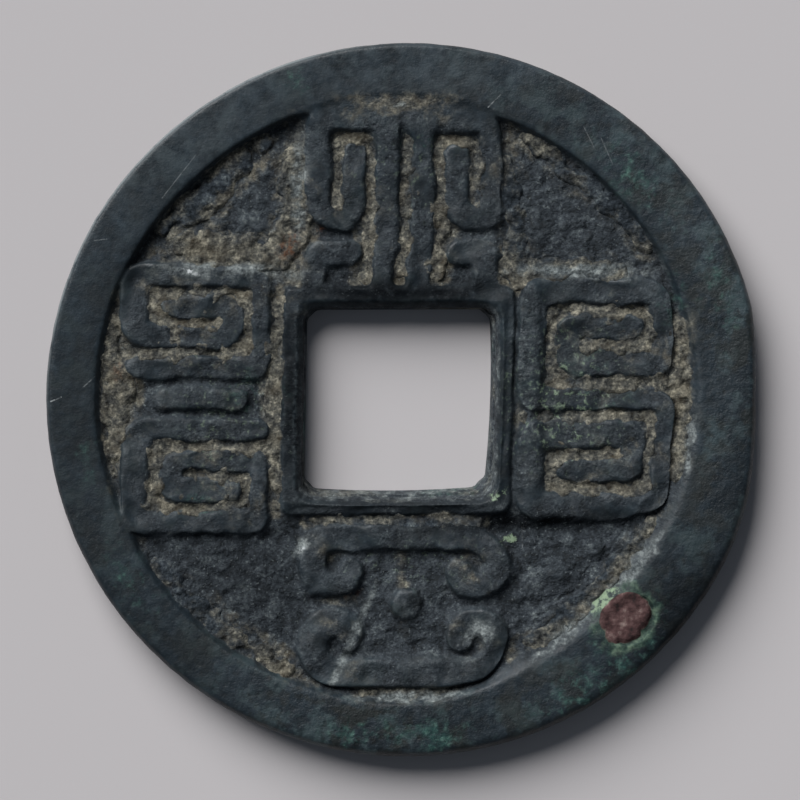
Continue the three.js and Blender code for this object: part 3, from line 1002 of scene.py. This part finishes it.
        # White flecks, and a painted glint on the end of a stroke
        return p.laid(colour, linear(self.scored.code), p.mark("fleck_and_glint"), speck)

    def _scores(self, p: Palette) -> bpy.types.NodeSocket:
        """Say where the face is scratched."""
        scores = p.scored(SCRATCHES[0])
        for scratch in SCRATCHES[1:]:
            scores = p.sum("MAXIMUM", scores, p.scored(scratch))
        height = p.node("ShaderNodeSeparateXYZ", {0: p.place}).outputs[2]
        low, high = self.face_heights
        return p.sum("MULTIPLY", scores, p.share(height, low * MM, high * MM))


@dataclass(frozen=True)
class PackedLoess:
    """Loess pressed into the recesses by burial: matt and crumbling, with the dark skin where it is thin."""

    coarse_bump: Bump = Bump(0.3, 6.0, 0.18, 0.9)
    fine_bump: Bump = Bump(0.08, 2.0, 0.04, 0.7)
    roughness: float = 0.95
    shine: float = 0.15
    deposits: Deposits = Deposits()

    def material(self) -> bpy.types.Material:
        """Make the material."""
        p = Palette("packed_loess")
        patch, speck = p.grain(*PATCHY), p.grain(*SPECKLED)
        # Lime, and painted sheen on lit slopes
        colour = p.laid(self.deposits.loess(p), self.deposits.ash_and_sheen(p), p.mark("ash_and_sheen"), patch)
        colour = p.laid(colour, linear(self.deposits.rust), p.mark("rust"), speck)
        colour = p.laid(colour, self.deposits.skin(p), p.mark("thin"), patch)
        bump = p.relief(self.fine_bump, under=p.relief(self.coarse_bump))
        inputs = {"Base Color": colour, "Roughness": self.roughness, "Specular IOR Level": self.shine}
        return p.finish(inputs | {"Normal": bump})


@dataclass(frozen=True)
class RedOxide:
    """Cuprite, the red oxide of copper, grown as a crust in a pit: dull brownish red with paler grains."""

    stops: Stops = ((0.32, "#2a2323"), (0.44, "#443131"), (0.56, "#594443"), (0.7, "#84736e"))
    halo: str = "#4c5c4e"
    halo_softness: float = 0.45
    bump: Bump = Bump(0.3, 5.0, 0.12, 0.8)
    roughness: float = 0.9
    shine: float = 0.15

    def material(self) -> bpy.types.Material:
        """Make the material."""
        p = Palette("red_oxide_crust")
        patch = p.grain(0.4, 5)
        colour = p.ramp(patch, self.stops)
        colour = p.laid(colour, linear(self.halo), p.mark("thin"), patch, self.halo_softness)
        inputs = {"Base Color": colour, "Roughness": self.roughness, "Specular IOR Level": self.shine}
        return p.finish(inputs | {"Normal": p.relief(self.bump)})


@dataclass
class WornCasting:
    """The coin itself: rims, fields, relief and hole, as worn. Sizes are in millimetres."""

    ageing: Ageing
    voxel: float = 0.06
    face_triangles: int = 152_000
    back_triangles: int = 42_000
    soften_rounds: int = 4
    relief_rounds: int = 110
    middle: float = 0.645
    facing_reach: float = 0.25
    # Depths of the two fields' own surfaces, and the band at the edge that has no field
    face_field: Span = (0.05, 0.24)
    back_field: Span = (0.05, 0.2)
    edge_band: float = 1.0
    relief_clears_rim: Span = (-0.1, -0.5)
    relief_clears_hole: Span = (3.3, 3.8)
    # How corrosion grew the strokes, by the lean of their walls, and how it ran them together
    growth: float = 0.08
    full_growth_lean: float = 0.6
    growth_clears_hole: Span = (4.0, 4.3)
    blur: Grain = Grain(1.7, 2, 71.0, 0.5, 0.85, 0.5, 1.0)
    # How the strokes are worn down
    gain: float = 1.25
    relief_height: float = 0.35
    stroke_wear: float = 0.16
    wear: Grain = Grain(1.2, 2, 11.0, -1.0, 0.3, 0.0, 1.0)
    deepest_wear: float = 0.2
    wear_turn: float = 0.12
    # The cast skin, with the share of each grain that the smooth rims keep
    swell: Grain = Grain(2.2, 2, 3.0, 0.05)
    lumps: Grain = Grain(0.62, 3, 5.0, 0.085)
    lumps_on_rim: float = 0.15
    grit: Grain = Grain(0.26, 3, 7.0, 0.03)
    grit_on_rim: float = 0.35
    skin_on_rim: float = 0.12
    skin_on_back: float = 0.4
    skin_fades: Span = (0.16, -0.12)
    moat_rises: Span = (0.75, 0.3)
    moat_ends: Span = (-0.05, 0.1)
    over_rim: float = 0.02
    field_below: float = 0.06
    ceiling_turn: float = 0.04
    # The arrises of the hole and of the edge, with its nicks
    hole_arris: float = 0.23
    hole_arris_reach: Span = (3.6, 3.2)
    flat_edge_share: float = 0.9
    rounding_depth: float = 0.75
    rounding_curve: float = 0.97
    nick: Grain = Grain(1.1, 3, 23.0)
    nick_depth: float = 0.02
    nick_reach: float = 0.3
    # What the marks on the mesh go by
    face_heights: Span = (0.6, 1.0)
    dull: Grain = Grain(0.9, 2, 53.0, 0.7, 0.45, 0.1, 0.9)
    ridge_off_relief: float = 0.3
    dust: float = 0.6
    dust_reach: Span = (0.35, 0.0)
    dust_line: Span = (1.3, 1.16)
    bareness: float = 0.85
    dust_on_rim: float = 0.5
    dust_radius: float = 10.7
    hole_shift: float = 0.25
    strokes_clear_hole: Span = (3.9, 4.5)
    stroke_tops: Span = (1.1, 1.25)
    settled: Grain = Grain(1.4, 3, 57.0, 0.3, 0.12)
    caked: Grain = Grain(2.4, 3, 83.0, 0.9, 0.15, 0.0, 0.75)
    halo: float = 0.75
    halo_reach: Span = (0.42, 0.0)
    crust_salts: float = 0.36
    crust_salts_reach: Span = (1.0, 0.2)
    back_salts: Grain = Grain(3.0, 2, 87.0, 0.8, 0.1, 0.0, 0.5)
    # Lime and painted sheen on the two walls of the hole that face the light
    wall_lime_and_sheen: float = 0.36
    wall_lime_and_sheen_starts: Span = (2.2, 2.9)
    wall_lime_and_sheen_square: Span = (3.75, 3.35)
    wall_lime_and_sheen_heights: Span = (1.36, 1.2)
    lime_and_sheen_line: Grain = Grain(0.5, 2, 91.0, 0.05)
    lime_and_sheen_heights: Span = (1.46, 1.37)
    coarse_off_rim: float = 0.4
    rim_from_wall: Span = (-0.3, 0.4)
    # Where the painted highlight along the rim's outer arris lies, by angle, width and height
    arris_highlight_from: Span = (90.0, 112.0)
    arris_highlight_to: Span = (188.0, 160.0)
    arris_highlight_width: float = 0.12
    arris_highlight_heights: Span = (1.16, 1.34)
    # How a bend below or above the neighbourhood counts
    bend_rounds: int = 20
    bend_pace: float = 0.6
    hollow_bend: Span = (0.015, 0.09)
    ridge_bend: Span = (0.02, 0.08)

    def facing(self, points: np.ndarray) -> np.ndarray:
        """Say which way each point looks, from -1 on the back to 1 on the face."""
        return np.clip((points[:, 2] - self.middle) / self.facing_reach, -1, 1)

    def recess(self, points: np.ndarray) -> np.ndarray:
        """Say how deep each point lies below the rims, from 0 on them to 1 in a field."""
        low, high = self.face_field
        face = 1 - smooth_share(points[:, 2], self.ageing.field_top + low, self.ageing.field_top + high)
        back = smooth_share(points[:, 2], *self.back_field)
        inside = (plan_length(points) < self.ageing.radius - self.edge_band).astype(float)
        return inside * np.where(points[:, 2] > self.middle, face, back)

    def model(self, node: bpy.types.Object) -> bpy.types.Object:
        """Model the worn coin.

        Args:
            node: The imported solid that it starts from.

        Returns:
            The piece, still in millimetres.
        """
        piece = bench_copy(node, "worn_coin")
        apply_modifier(piece, "REMESH", mode="VOXEL", voxel_size=self.voxel)
        apply_modifier(piece, "SMOOTH", factor=0.5, iterations=self.soften_rounds)
        self._grow(piece.data)
        points = corners_of(piece.data)
        group = weigh(piece, "relief", self._relief(points) * self.blur.at(points))
        apply_modifier(piece, "SMOOTH", factor=0.5, iterations=self.relief_rounds, vertex_group=group)
        self._wear(piece.data)
        apply_modifier(piece, "TRIANGULATE")
        self._thin(piece, "back", -1, self.back_triangles)
        self._thin(piece, "face", 1, self.face_triangles)
        return piece

    def _thin(self, piece: bpy.types.Object, name: str, way: int, triangles: int) -> None:
        """Thin one side of the coin and leave the other as it is.

        Args:
            piece: The coin, in triangles.
            name: The side's name.
            way: -1 for the back, 1 for the face.
            triangles: How many triangles the side keeps.
        """
        mesh = piece.data
        here = sum(1 for face in mesh.polygons if (face.center.z - self.middle) * way > 0)
        on_side = (corners_of(mesh)[:, 2] - self.middle) * way > 0
        group = weigh(piece, name, on_side.astype(float), steps=1)
        share = 1 - (here - triangles) / len(mesh.polygons)
        apply_modifier(piece, "DECIMATE", ratio=share, vertex_group=group, vertex_group_factor=1.0)

    def _relief(self, points: np.ndarray) -> np.ndarray:
        """Say where the relief is, the inner rim included."""
        inside = self.ageing.past_wall(plan_length(points), *self.relief_clears_rim)
        off_hole = smooth_share(plan_square(points), *self.relief_clears_hole)
        return inside * off_hole * (points[:, 2] > self.middle)

    def _grow(self, mesh: bpy.types.Mesh) -> None:
        """Thicken the strokes of the relief, as corrosion does."""
        points, normals = corners_of(mesh), normals_of(mesh)
        push = self.growth * np.minimum(1, plan_length(normals) / self.full_growth_lean)
        push = push * self._relief(points) * smooth_share(plan_square(points), *self.growth_clears_hole)
        points[:, :2] += outward(normals) * push[:, None]
        set_corners(mesh, points)

    def _wear(self, mesh: bpy.types.Mesh) -> None:
        """Wear the relief flat, make the cast skin rough, and move all to its worn place."""
        points = corners_of(mesh)
        made = self.ageing.moved(points)
        self._flatten(points, made)
        self._roughen(points, made)
        self._round_off(points, made)
        set_corners(mesh, made)

    def _flatten(self, points: np.ndarray, made: np.ndarray) -> None:
        """Wear the relief down. Points are the plain places, and made are the worn ones that are changed."""
        height = np.clip(points[:, 2] - self.ageing.field_top, 0, None)
        worn = self.stroke_wear * self.wear.at(points) + strongest(WORN, made)
        plane = self.relief_height - np.clip(worn, 0, self.deepest_wear)
        lowered = lower_of(height * self.gain, plane, self.wear_turn)
        made[:, 2] += (lowered - height) * self._relief(points)

    def _roughen(self, points: np.ndarray, made: np.ndarray) -> None:
        """Make the cast skin uneven, most of all in the fields."""
        ageing, recess = self.ageing, self.recess(points)
        lift = summed(SWELLS, made) - summed(DIPS, made)
        lift += self.swell.at(points)
        lift += self.lumps.at(points) * at_least(self.lumps_on_rim, recess)
        grit = self.grit.at(points) * at_least(self.grit_on_rim, recess)
        reach = plan_length(points)
        wall = ageing.rim_inner - reach
        moat = smooth_share(wall, *self.moat_rises) * smooth_share(wall, *self.moat_ends)
        lift -= around(MOAT, points) * moat
        inside = ageing.past_wall(reach, *self.skin_fades)
        lift = (lift + grit) * (inside + (1 - inside) * self.skin_on_rim)
        facing = self.facing(points)
        raised = made[:, 2] + np.where(facing > 0, lift, self.skin_on_back * lift) * facing
        ceiling = ageing.thickness + self.over_rim - self.field_below * inside
        made[:, 2] = np.maximum(lower_of(raised, ceiling, self.ceiling_turn), 0)

    def _round_off(self, points: np.ndarray, made: np.ndarray) -> None:
        """Wear the arrises of the hole and of the edge round, and nick the edge."""
        ageing = self.ageing
        arris = smooth_share(plan_square(points), *self.hole_arris_reach) ** 2
        made[:, 2] -= self.hole_arris * arris * np.maximum(self.facing(points), 0)
        reach, width, half = plan_length(points), around(ROUNDING, points), ageing.thickness / 2
        turn = np.clip((reach - (ageing.radius - width)) / width, 0, 1)
        upright = np.clip((points[:, 2] - half) / (half * self.flat_edge_share), -1, 1)
        drop = 1 - np.sqrt(1 - self.rounding_curve * turn**2)
        made[:, 2] -= upright * self.rounding_depth * width * drop
        at_edge = smooth_share(reach, ageing.radius - self.nick_reach, ageing.radius)
        nicks = np.abs(self.nick.at(points, 0.5)) * at_edge
        made[:, :2] -= outward(points) * nicks[:, None] * self.nick_depth

    def mark(self, mesh: bpy.types.Mesh, earths: list[np.ndarray], crust: np.ndarray) -> None:
        """Keep on the mesh what the finish needs to know of each place.

        Args:
            mesh: The worn coin's mesh.
            earths: The corners of each piece of earth.
            crust: The corners of the red crust.
        """
        points = corners_of(mesh)
        recess, relief = self.recess(points), self._relief(points)
        on_face = smooth_share(points[:, 2], *self.face_heights)
        hollow, ridge = self._bends(mesh, points)
        beside = apart(points, crust)
        salts = self.crust_salts * smooth_share(beside, *self.crust_salts_reach)
        salts = np.maximum(strongest(MALACHITE, points), salts)
        back_salts = self.back_salts.at(points) * (1 - on_face)
        on_rim = self.ageing.past_wall(plan_length(points), *self.rim_from_wall)
        marks = {
            "recess": np.maximum(recess, self.dull.at(points) * relief),
            "hollow": hollow,
            "ridge": ridge * at_least(self.ridge_off_relief, relief),
            "earth": self._dust(points, on_face, np.concatenate(earths)),
            "halo": self.halo * smooth_share(beside, *self.halo_reach) * on_face,
            "malachite": np.maximum(salts * on_face, back_salts),
            # Lime, and painted sheen on lit flanks and on the lit walls of the hole
            "ash_and_sheen": self._lime_and_sheen(points, on_face),
            "rust": strongest(RUST, points) * on_face * recess,
            "coarse": around(COARSE, points) * at_least(self.coarse_off_rim, on_rim),
            # Painted highlight along the lit side of the rim's outer arris
            "arris": self._painted_arris_highlight(points),
        }
        marks |= {name: strongest(places, points) * on_face for name, places in FACE_MARKS.items()}
        for name, values in marks.items():
            paint(mesh, name, values)

    def _hole_square(self, points: np.ndarray) -> np.ndarray:
        """Measure the squares that points lie on about the worn hole's middle."""
        return plan_square(points + [self.hole_shift, 0, 0])

    def _dust(self, points: np.ndarray, on_face: np.ndarray, earths: np.ndarray) -> np.ndarray:
        """Say how much earth clings to the metal: near the earth, on the strokes and on the back."""
        recess, height = self.recess(points), points[:, 2]
        near = self.dust * smooth_share(apart(points, earths), *self.dust_reach)
        near *= smooth_share(height, *self.dust_line) * (1 - self.bareness * strongest(BARED, points))
        off_hole = smooth_share(self._hole_square(points), *self.strokes_clear_hole)
        on_strokes = self._relief(points) * off_hole * smooth_share(height, *self.stroke_tops)
        dusty = np.maximum(near, strongest(EARTH, points)) * at_least(self.dust_on_rim, recess)
        dusty = np.maximum(dusty, self.settled.at(points) * on_strokes)
        dusty *= on_face * (plan_length(points) < self.dust_radius)
        return np.maximum(dusty, self.caked.at(points) * recess * (1 - on_face))

    def _lime_and_sheen(self, points: np.ndarray, on_face: np.ndarray) -> np.ndarray:
        """Say how much lime and painted sheen lie on the face, and on the two walls of the hole that are lit.
        """
        height = points[:, 2]
        wall = smooth_share(np.maximum(points[:, 0], -points[:, 1]), *self.wall_lime_and_sheen_starts)
        wall *= smooth_share(self._hole_square(points), *self.wall_lime_and_sheen_square)
        wall *= smooth_share(height, *self.wall_lime_and_sheen_heights) * self.wall_lime_and_sheen
        under_rim = smooth_share(height + self.lime_and_sheen_line.at(points), *self.lime_and_sheen_heights) * on_face
        return np.maximum(strongest(ASH_AND_SHEEN, points) * under_rim, wall)

    def _painted_arris_highlight(self, points: np.ndarray) -> np.ndarray:
        """Say where a painted highlight runs along the rim's outer arris, on the side that the light comes
        from.
        """
        angles, outline = angles_of(points), around(self.ageing.outline, points)
        lit = smooth_share(angles, *self.arris_highlight_from) * smooth_share(angles, *self.arris_highlight_to)
        at_edge = smooth_share(plan_length(points), outline - self.arris_highlight_width, outline)
        return at_edge * lit * smooth_share(points[:, 2], *self.arris_highlight_heights)

    def _bends(self, mesh: bpy.types.Mesh, points: np.ndarray) -> tuple[np.ndarray, np.ndarray]:
        """Say how far vertices lie below and above their neighbourhoods, from 0 to 1 for a sharp bend."""
        pairs = np.empty(len(mesh.edges) * 2, np.int32)
        mesh.edges.foreach_get("vertices", pairs)
        first, second = pairs[0::2], pairs[1::2]
        total = len(points)
        count = np.bincount(pairs, minlength=total).astype(float)
        flat = points.copy()
        for _ in range(self.bend_rounds):
            sums = [
                np.bincount(first, flat[second, i], total) + np.bincount(second, flat[first, i], total)
                for i in range(3)
            ]
            nearby = np.stack(sums, axis=1) / count[:, None]
            flat = (1 - self.bend_pace) * flat + self.bend_pace * nearby
        out = ((points - flat) * normals_of(mesh)).sum(axis=1)
        return smooth_share(-out, *self.hollow_bend), smooth_share(out, *self.ridge_bend)


@dataclass
class Draped:
    """A deposit that lies on the worn coin and crumbles away at its edge. Sizes are in millimetres."""

    ageing: Ageing
    name: str
    voxel: float = 0.05
    spread: float = 0.33
    drift: tuple[float, float] = (0.0, 0.0)
    uneven: float = 0.6
    depth: float = 0.12
    bank: float = 0.45
    lean: float = 0.1
    lean_reach: float = 0.22
    clods: float = 0.07
    fray: float = 0.45
    feather: float = 0.4
    datum: float = 1.03
    soften_rounds: int = 2
    side_lean: float = 0.5
    edge_lean: float = 0.6
    steepest_rise: float = 0.3
    ragged_from: float = -0.05
    edge_width: float = 0.16
    # How far the deposit's edge sinks into the coin, how thin it may get and how far it may pass the rim
    sink: float = 0.05
    least: float = 0.03
    over_rim: float = 0.02
    top_lean: float = 0.2
    thin_mark: float = 0.8
    thin_heights: Span = (0.05, -0.03)
    ash_and_sheen_hides: float = 0.8

    def lay(self, node: bpy.types.Object, coin: BVHTree) -> bpy.types.Object:
        """Lay the deposit.

        Args:
            node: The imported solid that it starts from.
            coin: The worn coin's surface.

        Returns:
            The piece, still in millimetres.
        """
        piece = bench_copy(node, self.name)
        apply_modifier(piece, "REMESH", mode="VOXEL", voxel_size=self.voxel)
        apply_modifier(piece, "SMOOTH", factor=0.5, iterations=self.soften_rounds)
        points, facing = corners_of(piece.data), normals_of(piece.data)
        at_side = np.minimum(1, plan_length(facing) / self.side_lean)
        far = self.spread * Grain(0.9, 2, 41.0, self.uneven, 1.0).at(points)
        points[:, :2] += (facing[:, :2] * far[:, None] + np.array(self.drift)) * at_side[:, None]
        set_corners(piece.data, points)
        apply_modifier(piece, "REMESH", mode="VOXEL", voxel_size=self.voxel)

        points, facing = corners_of(piece.data), normals_of(piece.data)
        inner = apart(points, points[np.abs(facing[:, 2]) < self.edge_lean])
        made = self.ageing.moved(points)
        ground = self._ground(coin, made)
        top = self._top(coin, made, ground, inner)
        under = np.minimum(ground - self.sink, top - self.least)
        made[:, 2] = np.where(facing[:, 2] > self.top_lean, top, under)
        set_corners(piece.data, made)
        # Lime and painted sheen on lit slopes are kept under one mark
        thin, ash_and_sheen = self.thin_mark * smooth_share(top - ground, *self.thin_heights), strongest(ASH_AND_SHEEN, made)
        paint(piece.data, "thin", np.maximum(thin, strongest(BARED, made)) * (1 - self.ash_and_sheen_hides * ash_and_sheen))
        paint(piece.data, "ash_and_sheen", ash_and_sheen)
        paint(piece.data, "rust", strongest(RUST, made))
        return piece

    def _top(self, coin: BVHTree, made: np.ndarray, ground: np.ndarray, inner: np.ndarray) -> np.ndarray:
        """Find the heights of the deposit's top.

        Args:
            coin: The worn coin's surface.
            made: The deposit's points, in their worn places.
            ground: The coin's heights under them.
            inner: How far they lie inside the deposit's edge.

        Returns:
            The heights.
        """
        ragged = inner + Grain(0.7, 3, 31.0, self.fray).at(made)
        lump = Grain(0.4, 3, 37.0, self.clods).at(made)
        aside = self.lean_reach * np.array([1.0, -1.0, 0.0]) / math.sqrt(2)
        rise = self._ground(coin, made + aside) - self._ground(coin, made - aside)
        rise = np.clip(rise, -self.steepest_rise, self.steepest_rise)
        level = self.datum + self.depth + lump + self.bank * (ground - self.datum) + self.lean * rise
        held = smooth_share(ragged, self.ragged_from, self.feather)
        held = held * smooth_share(inner, 0.0, self.edge_width)
        top = ground - self.sink + (level - ground + self.sink) * held
        ceiling = np.full(len(top), self.ageing.thickness + self.over_rim)
        return lower_of(top, ceiling, self.over_rim)

    def _ground(self, coin: BVHTree, points: np.ndarray) -> np.ndarray:
        """Find the heights of the coin's face over or under some points."""
        start = self.ageing.thickness + 1
        hits = [coin.ray_cast(Vector((x, y, start)), Vector((0, 0, -1)))[0] for x, y, _ in points.tolist()]
        return np.array([hit.z if hit else self.datum for hit in hits])


@dataclass
class Studio:
    """The pale floor, the lights, and the camera, which looks straight down as the photograph's did."""

    coin_top: float
    photo_side: int = 800
    pixels_per_mm: float = 29.27
    coin_centre_px: tuple[float, float] = (405.0, 398.5)
    camera_height: float = 0.19
    sensor: float = 36.0
    floor_side: float = 1.6
    clip: Span = (0.01, 10.0)
    floor_gap_mm: float = 0.01
    floor_colour: str = "#bfbbbc"
    floor_roughness: float = 0.8
    floor_shine: float = 0.1
    horizon: str = "#d8d8da"
    zenith: str = "#5f666e"
    sky_rise: Span = (0.02, 0.12)
    sky_strength: float = 0.65
    sun_strength: float = 4.45
    sun_width: float = 46.0
    sun_turn: float = 123.0
    sun_height: float = 37.0

    def build(self) -> None:
        """Make the floor, the lights and the camera."""
        self._camera()
        self._lights()
        self._floor()

    def _camera(self) -> None:
        """Set the camera so that the coin has the photograph's size and place."""
        data = bpy.data.cameras.new("overhead")
        data.sensor_width = self.sensor
        data.lens = self.sensor * self.camera_height / (self.photo_side / self.pixels_per_mm * MM)
        data.clip_start, data.clip_end = self.clip
        camera = bpy.data.objects.new("overhead", data)
        middle = self.photo_side / 2
        across = (middle - self.coin_centre_px[0]) / self.pixels_per_mm * MM
        up = (self.coin_centre_px[1] - middle) / self.pixels_per_mm * MM
        camera.location = (across, up, self.coin_top + self.camera_height)
        bpy.context.scene.collection.objects.link(camera)
        bpy.context.scene.camera = camera

    def _lights(self) -> None:
        """Set one wide window light from the upper left, and a sky that is palest at the horizon."""
        data = bpy.data.lights.new("window", "SUN")
        data.energy = self.sun_strength
        data.angle = math.radians(self.sun_width)
        lamp = bpy.data.objects.new("window", data)
        turn = math.radians(self.sun_turn)
        high = math.radians(self.sun_height)
        towards = Vector((math.cos(turn) * math.cos(high), math.sin(turn) * math.cos(high), math.sin(high)))
        lamp.rotation_euler = towards.to_track_quat("Z", "Y").to_euler()
        bpy.context.scene.collection.objects.link(lamp)
        world = bpy.data.worlds.new("studio")
        world.use_nodes = True
        tree = world.node_tree
        tree.nodes.clear()
        view = add_node(tree, "ShaderNodeTexCoord").outputs["Generated"]
        up = add_node(tree, "ShaderNodeSeparateXYZ", {0: view}).outputs[2]
        low, high = self.sky_rise
        rise = add_node(tree, "ShaderNodeMapRange", {"Value": up, "From Min": low, "From Max": high})
        inputs = {0: rise.outputs[0], 6: linear(self.horizon), 7: linear(self.zenith)}
        sky = add_node(tree, "ShaderNodeMix", inputs, data_type="RGBA").outputs[2]
        background = add_node(tree, "ShaderNodeBackground", {"Color": sky, "Strength": self.sky_strength})
        add_node(tree, "ShaderNodeOutputWorld", {"Surface": background.outputs[0]})
        bpy.context.scene.world = world

    def _floor(self) -> None:
        """Lay the floor just under the coin."""
        bpy.ops.mesh.primitive_plane_add(size=self.floor_side, location=(0, 0, -self.floor_gap_mm * MM))
        floor = bpy.context.object
        floor.name = "floor"
        p = Palette("pale_floor")
        inputs = {"Base Color": linear(self.floor_colour), "Roughness": self.floor_roughness}
        floor.data.materials.append(p.finish(inputs | {"Specular IOR Level": self.floor_shine}))


def main() -> None:
    """Build the coin and its deposits around the frame, and the studio about them."""
    logging.basicConfig(level=logging.INFO, format="%(name)s: %(message)s")
    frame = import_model()
    low, high = (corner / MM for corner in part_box(CASTING_NODE))
    ageing = Ageing(radius=(high.x - low.x) / 2, thickness=high.z - low.z)
    nodes = frame["nodes"]

    Studio(coin_top=high.z * MM).build()

    casting = WornCasting(ageing)
    coin = casting.model(nodes[CASTING_NODE])
    surface = surface_of(coin.data)
    earths = {}
    for name in sorted(nodes):
        if name.startswith(EARTH_PREFIX):
            earth = Draped(ageing, f"loess_{name.removeprefix(EARTH_PREFIX)}")
            earths[name] = earth.lay(nodes[name], surface)
    crust = Draped(
        ageing, "cuprite_crust", voxel=0.04, spread=0.22, drift=(-0.2, 0.04), uneven=0.25, depth=0.05,
        bank=0.3, lean=0.0, clods=0.03, fray=0.2, feather=0.25, datum=1.43,
    )
    oxide = crust.lay(nodes[CRUST_NODE], surface)
    casting.mark(coin.data, [corners_of(piece.data) for piece in earths.values()], corners_of(oxide.data))

    off_the_bench(coin, PatinatedBronze().material(), CASTING_NODE)
    loess = PackedLoess().material()
    for name, piece in earths.items():
        off_the_bench(piece, loess, name)
    off_the_bench(oxide, RedOxide().material(), CRUST_NODE)

    bpy.context.scene.view_settings.view_transform = "Standard"


if __name__ == "__main__":
    main()
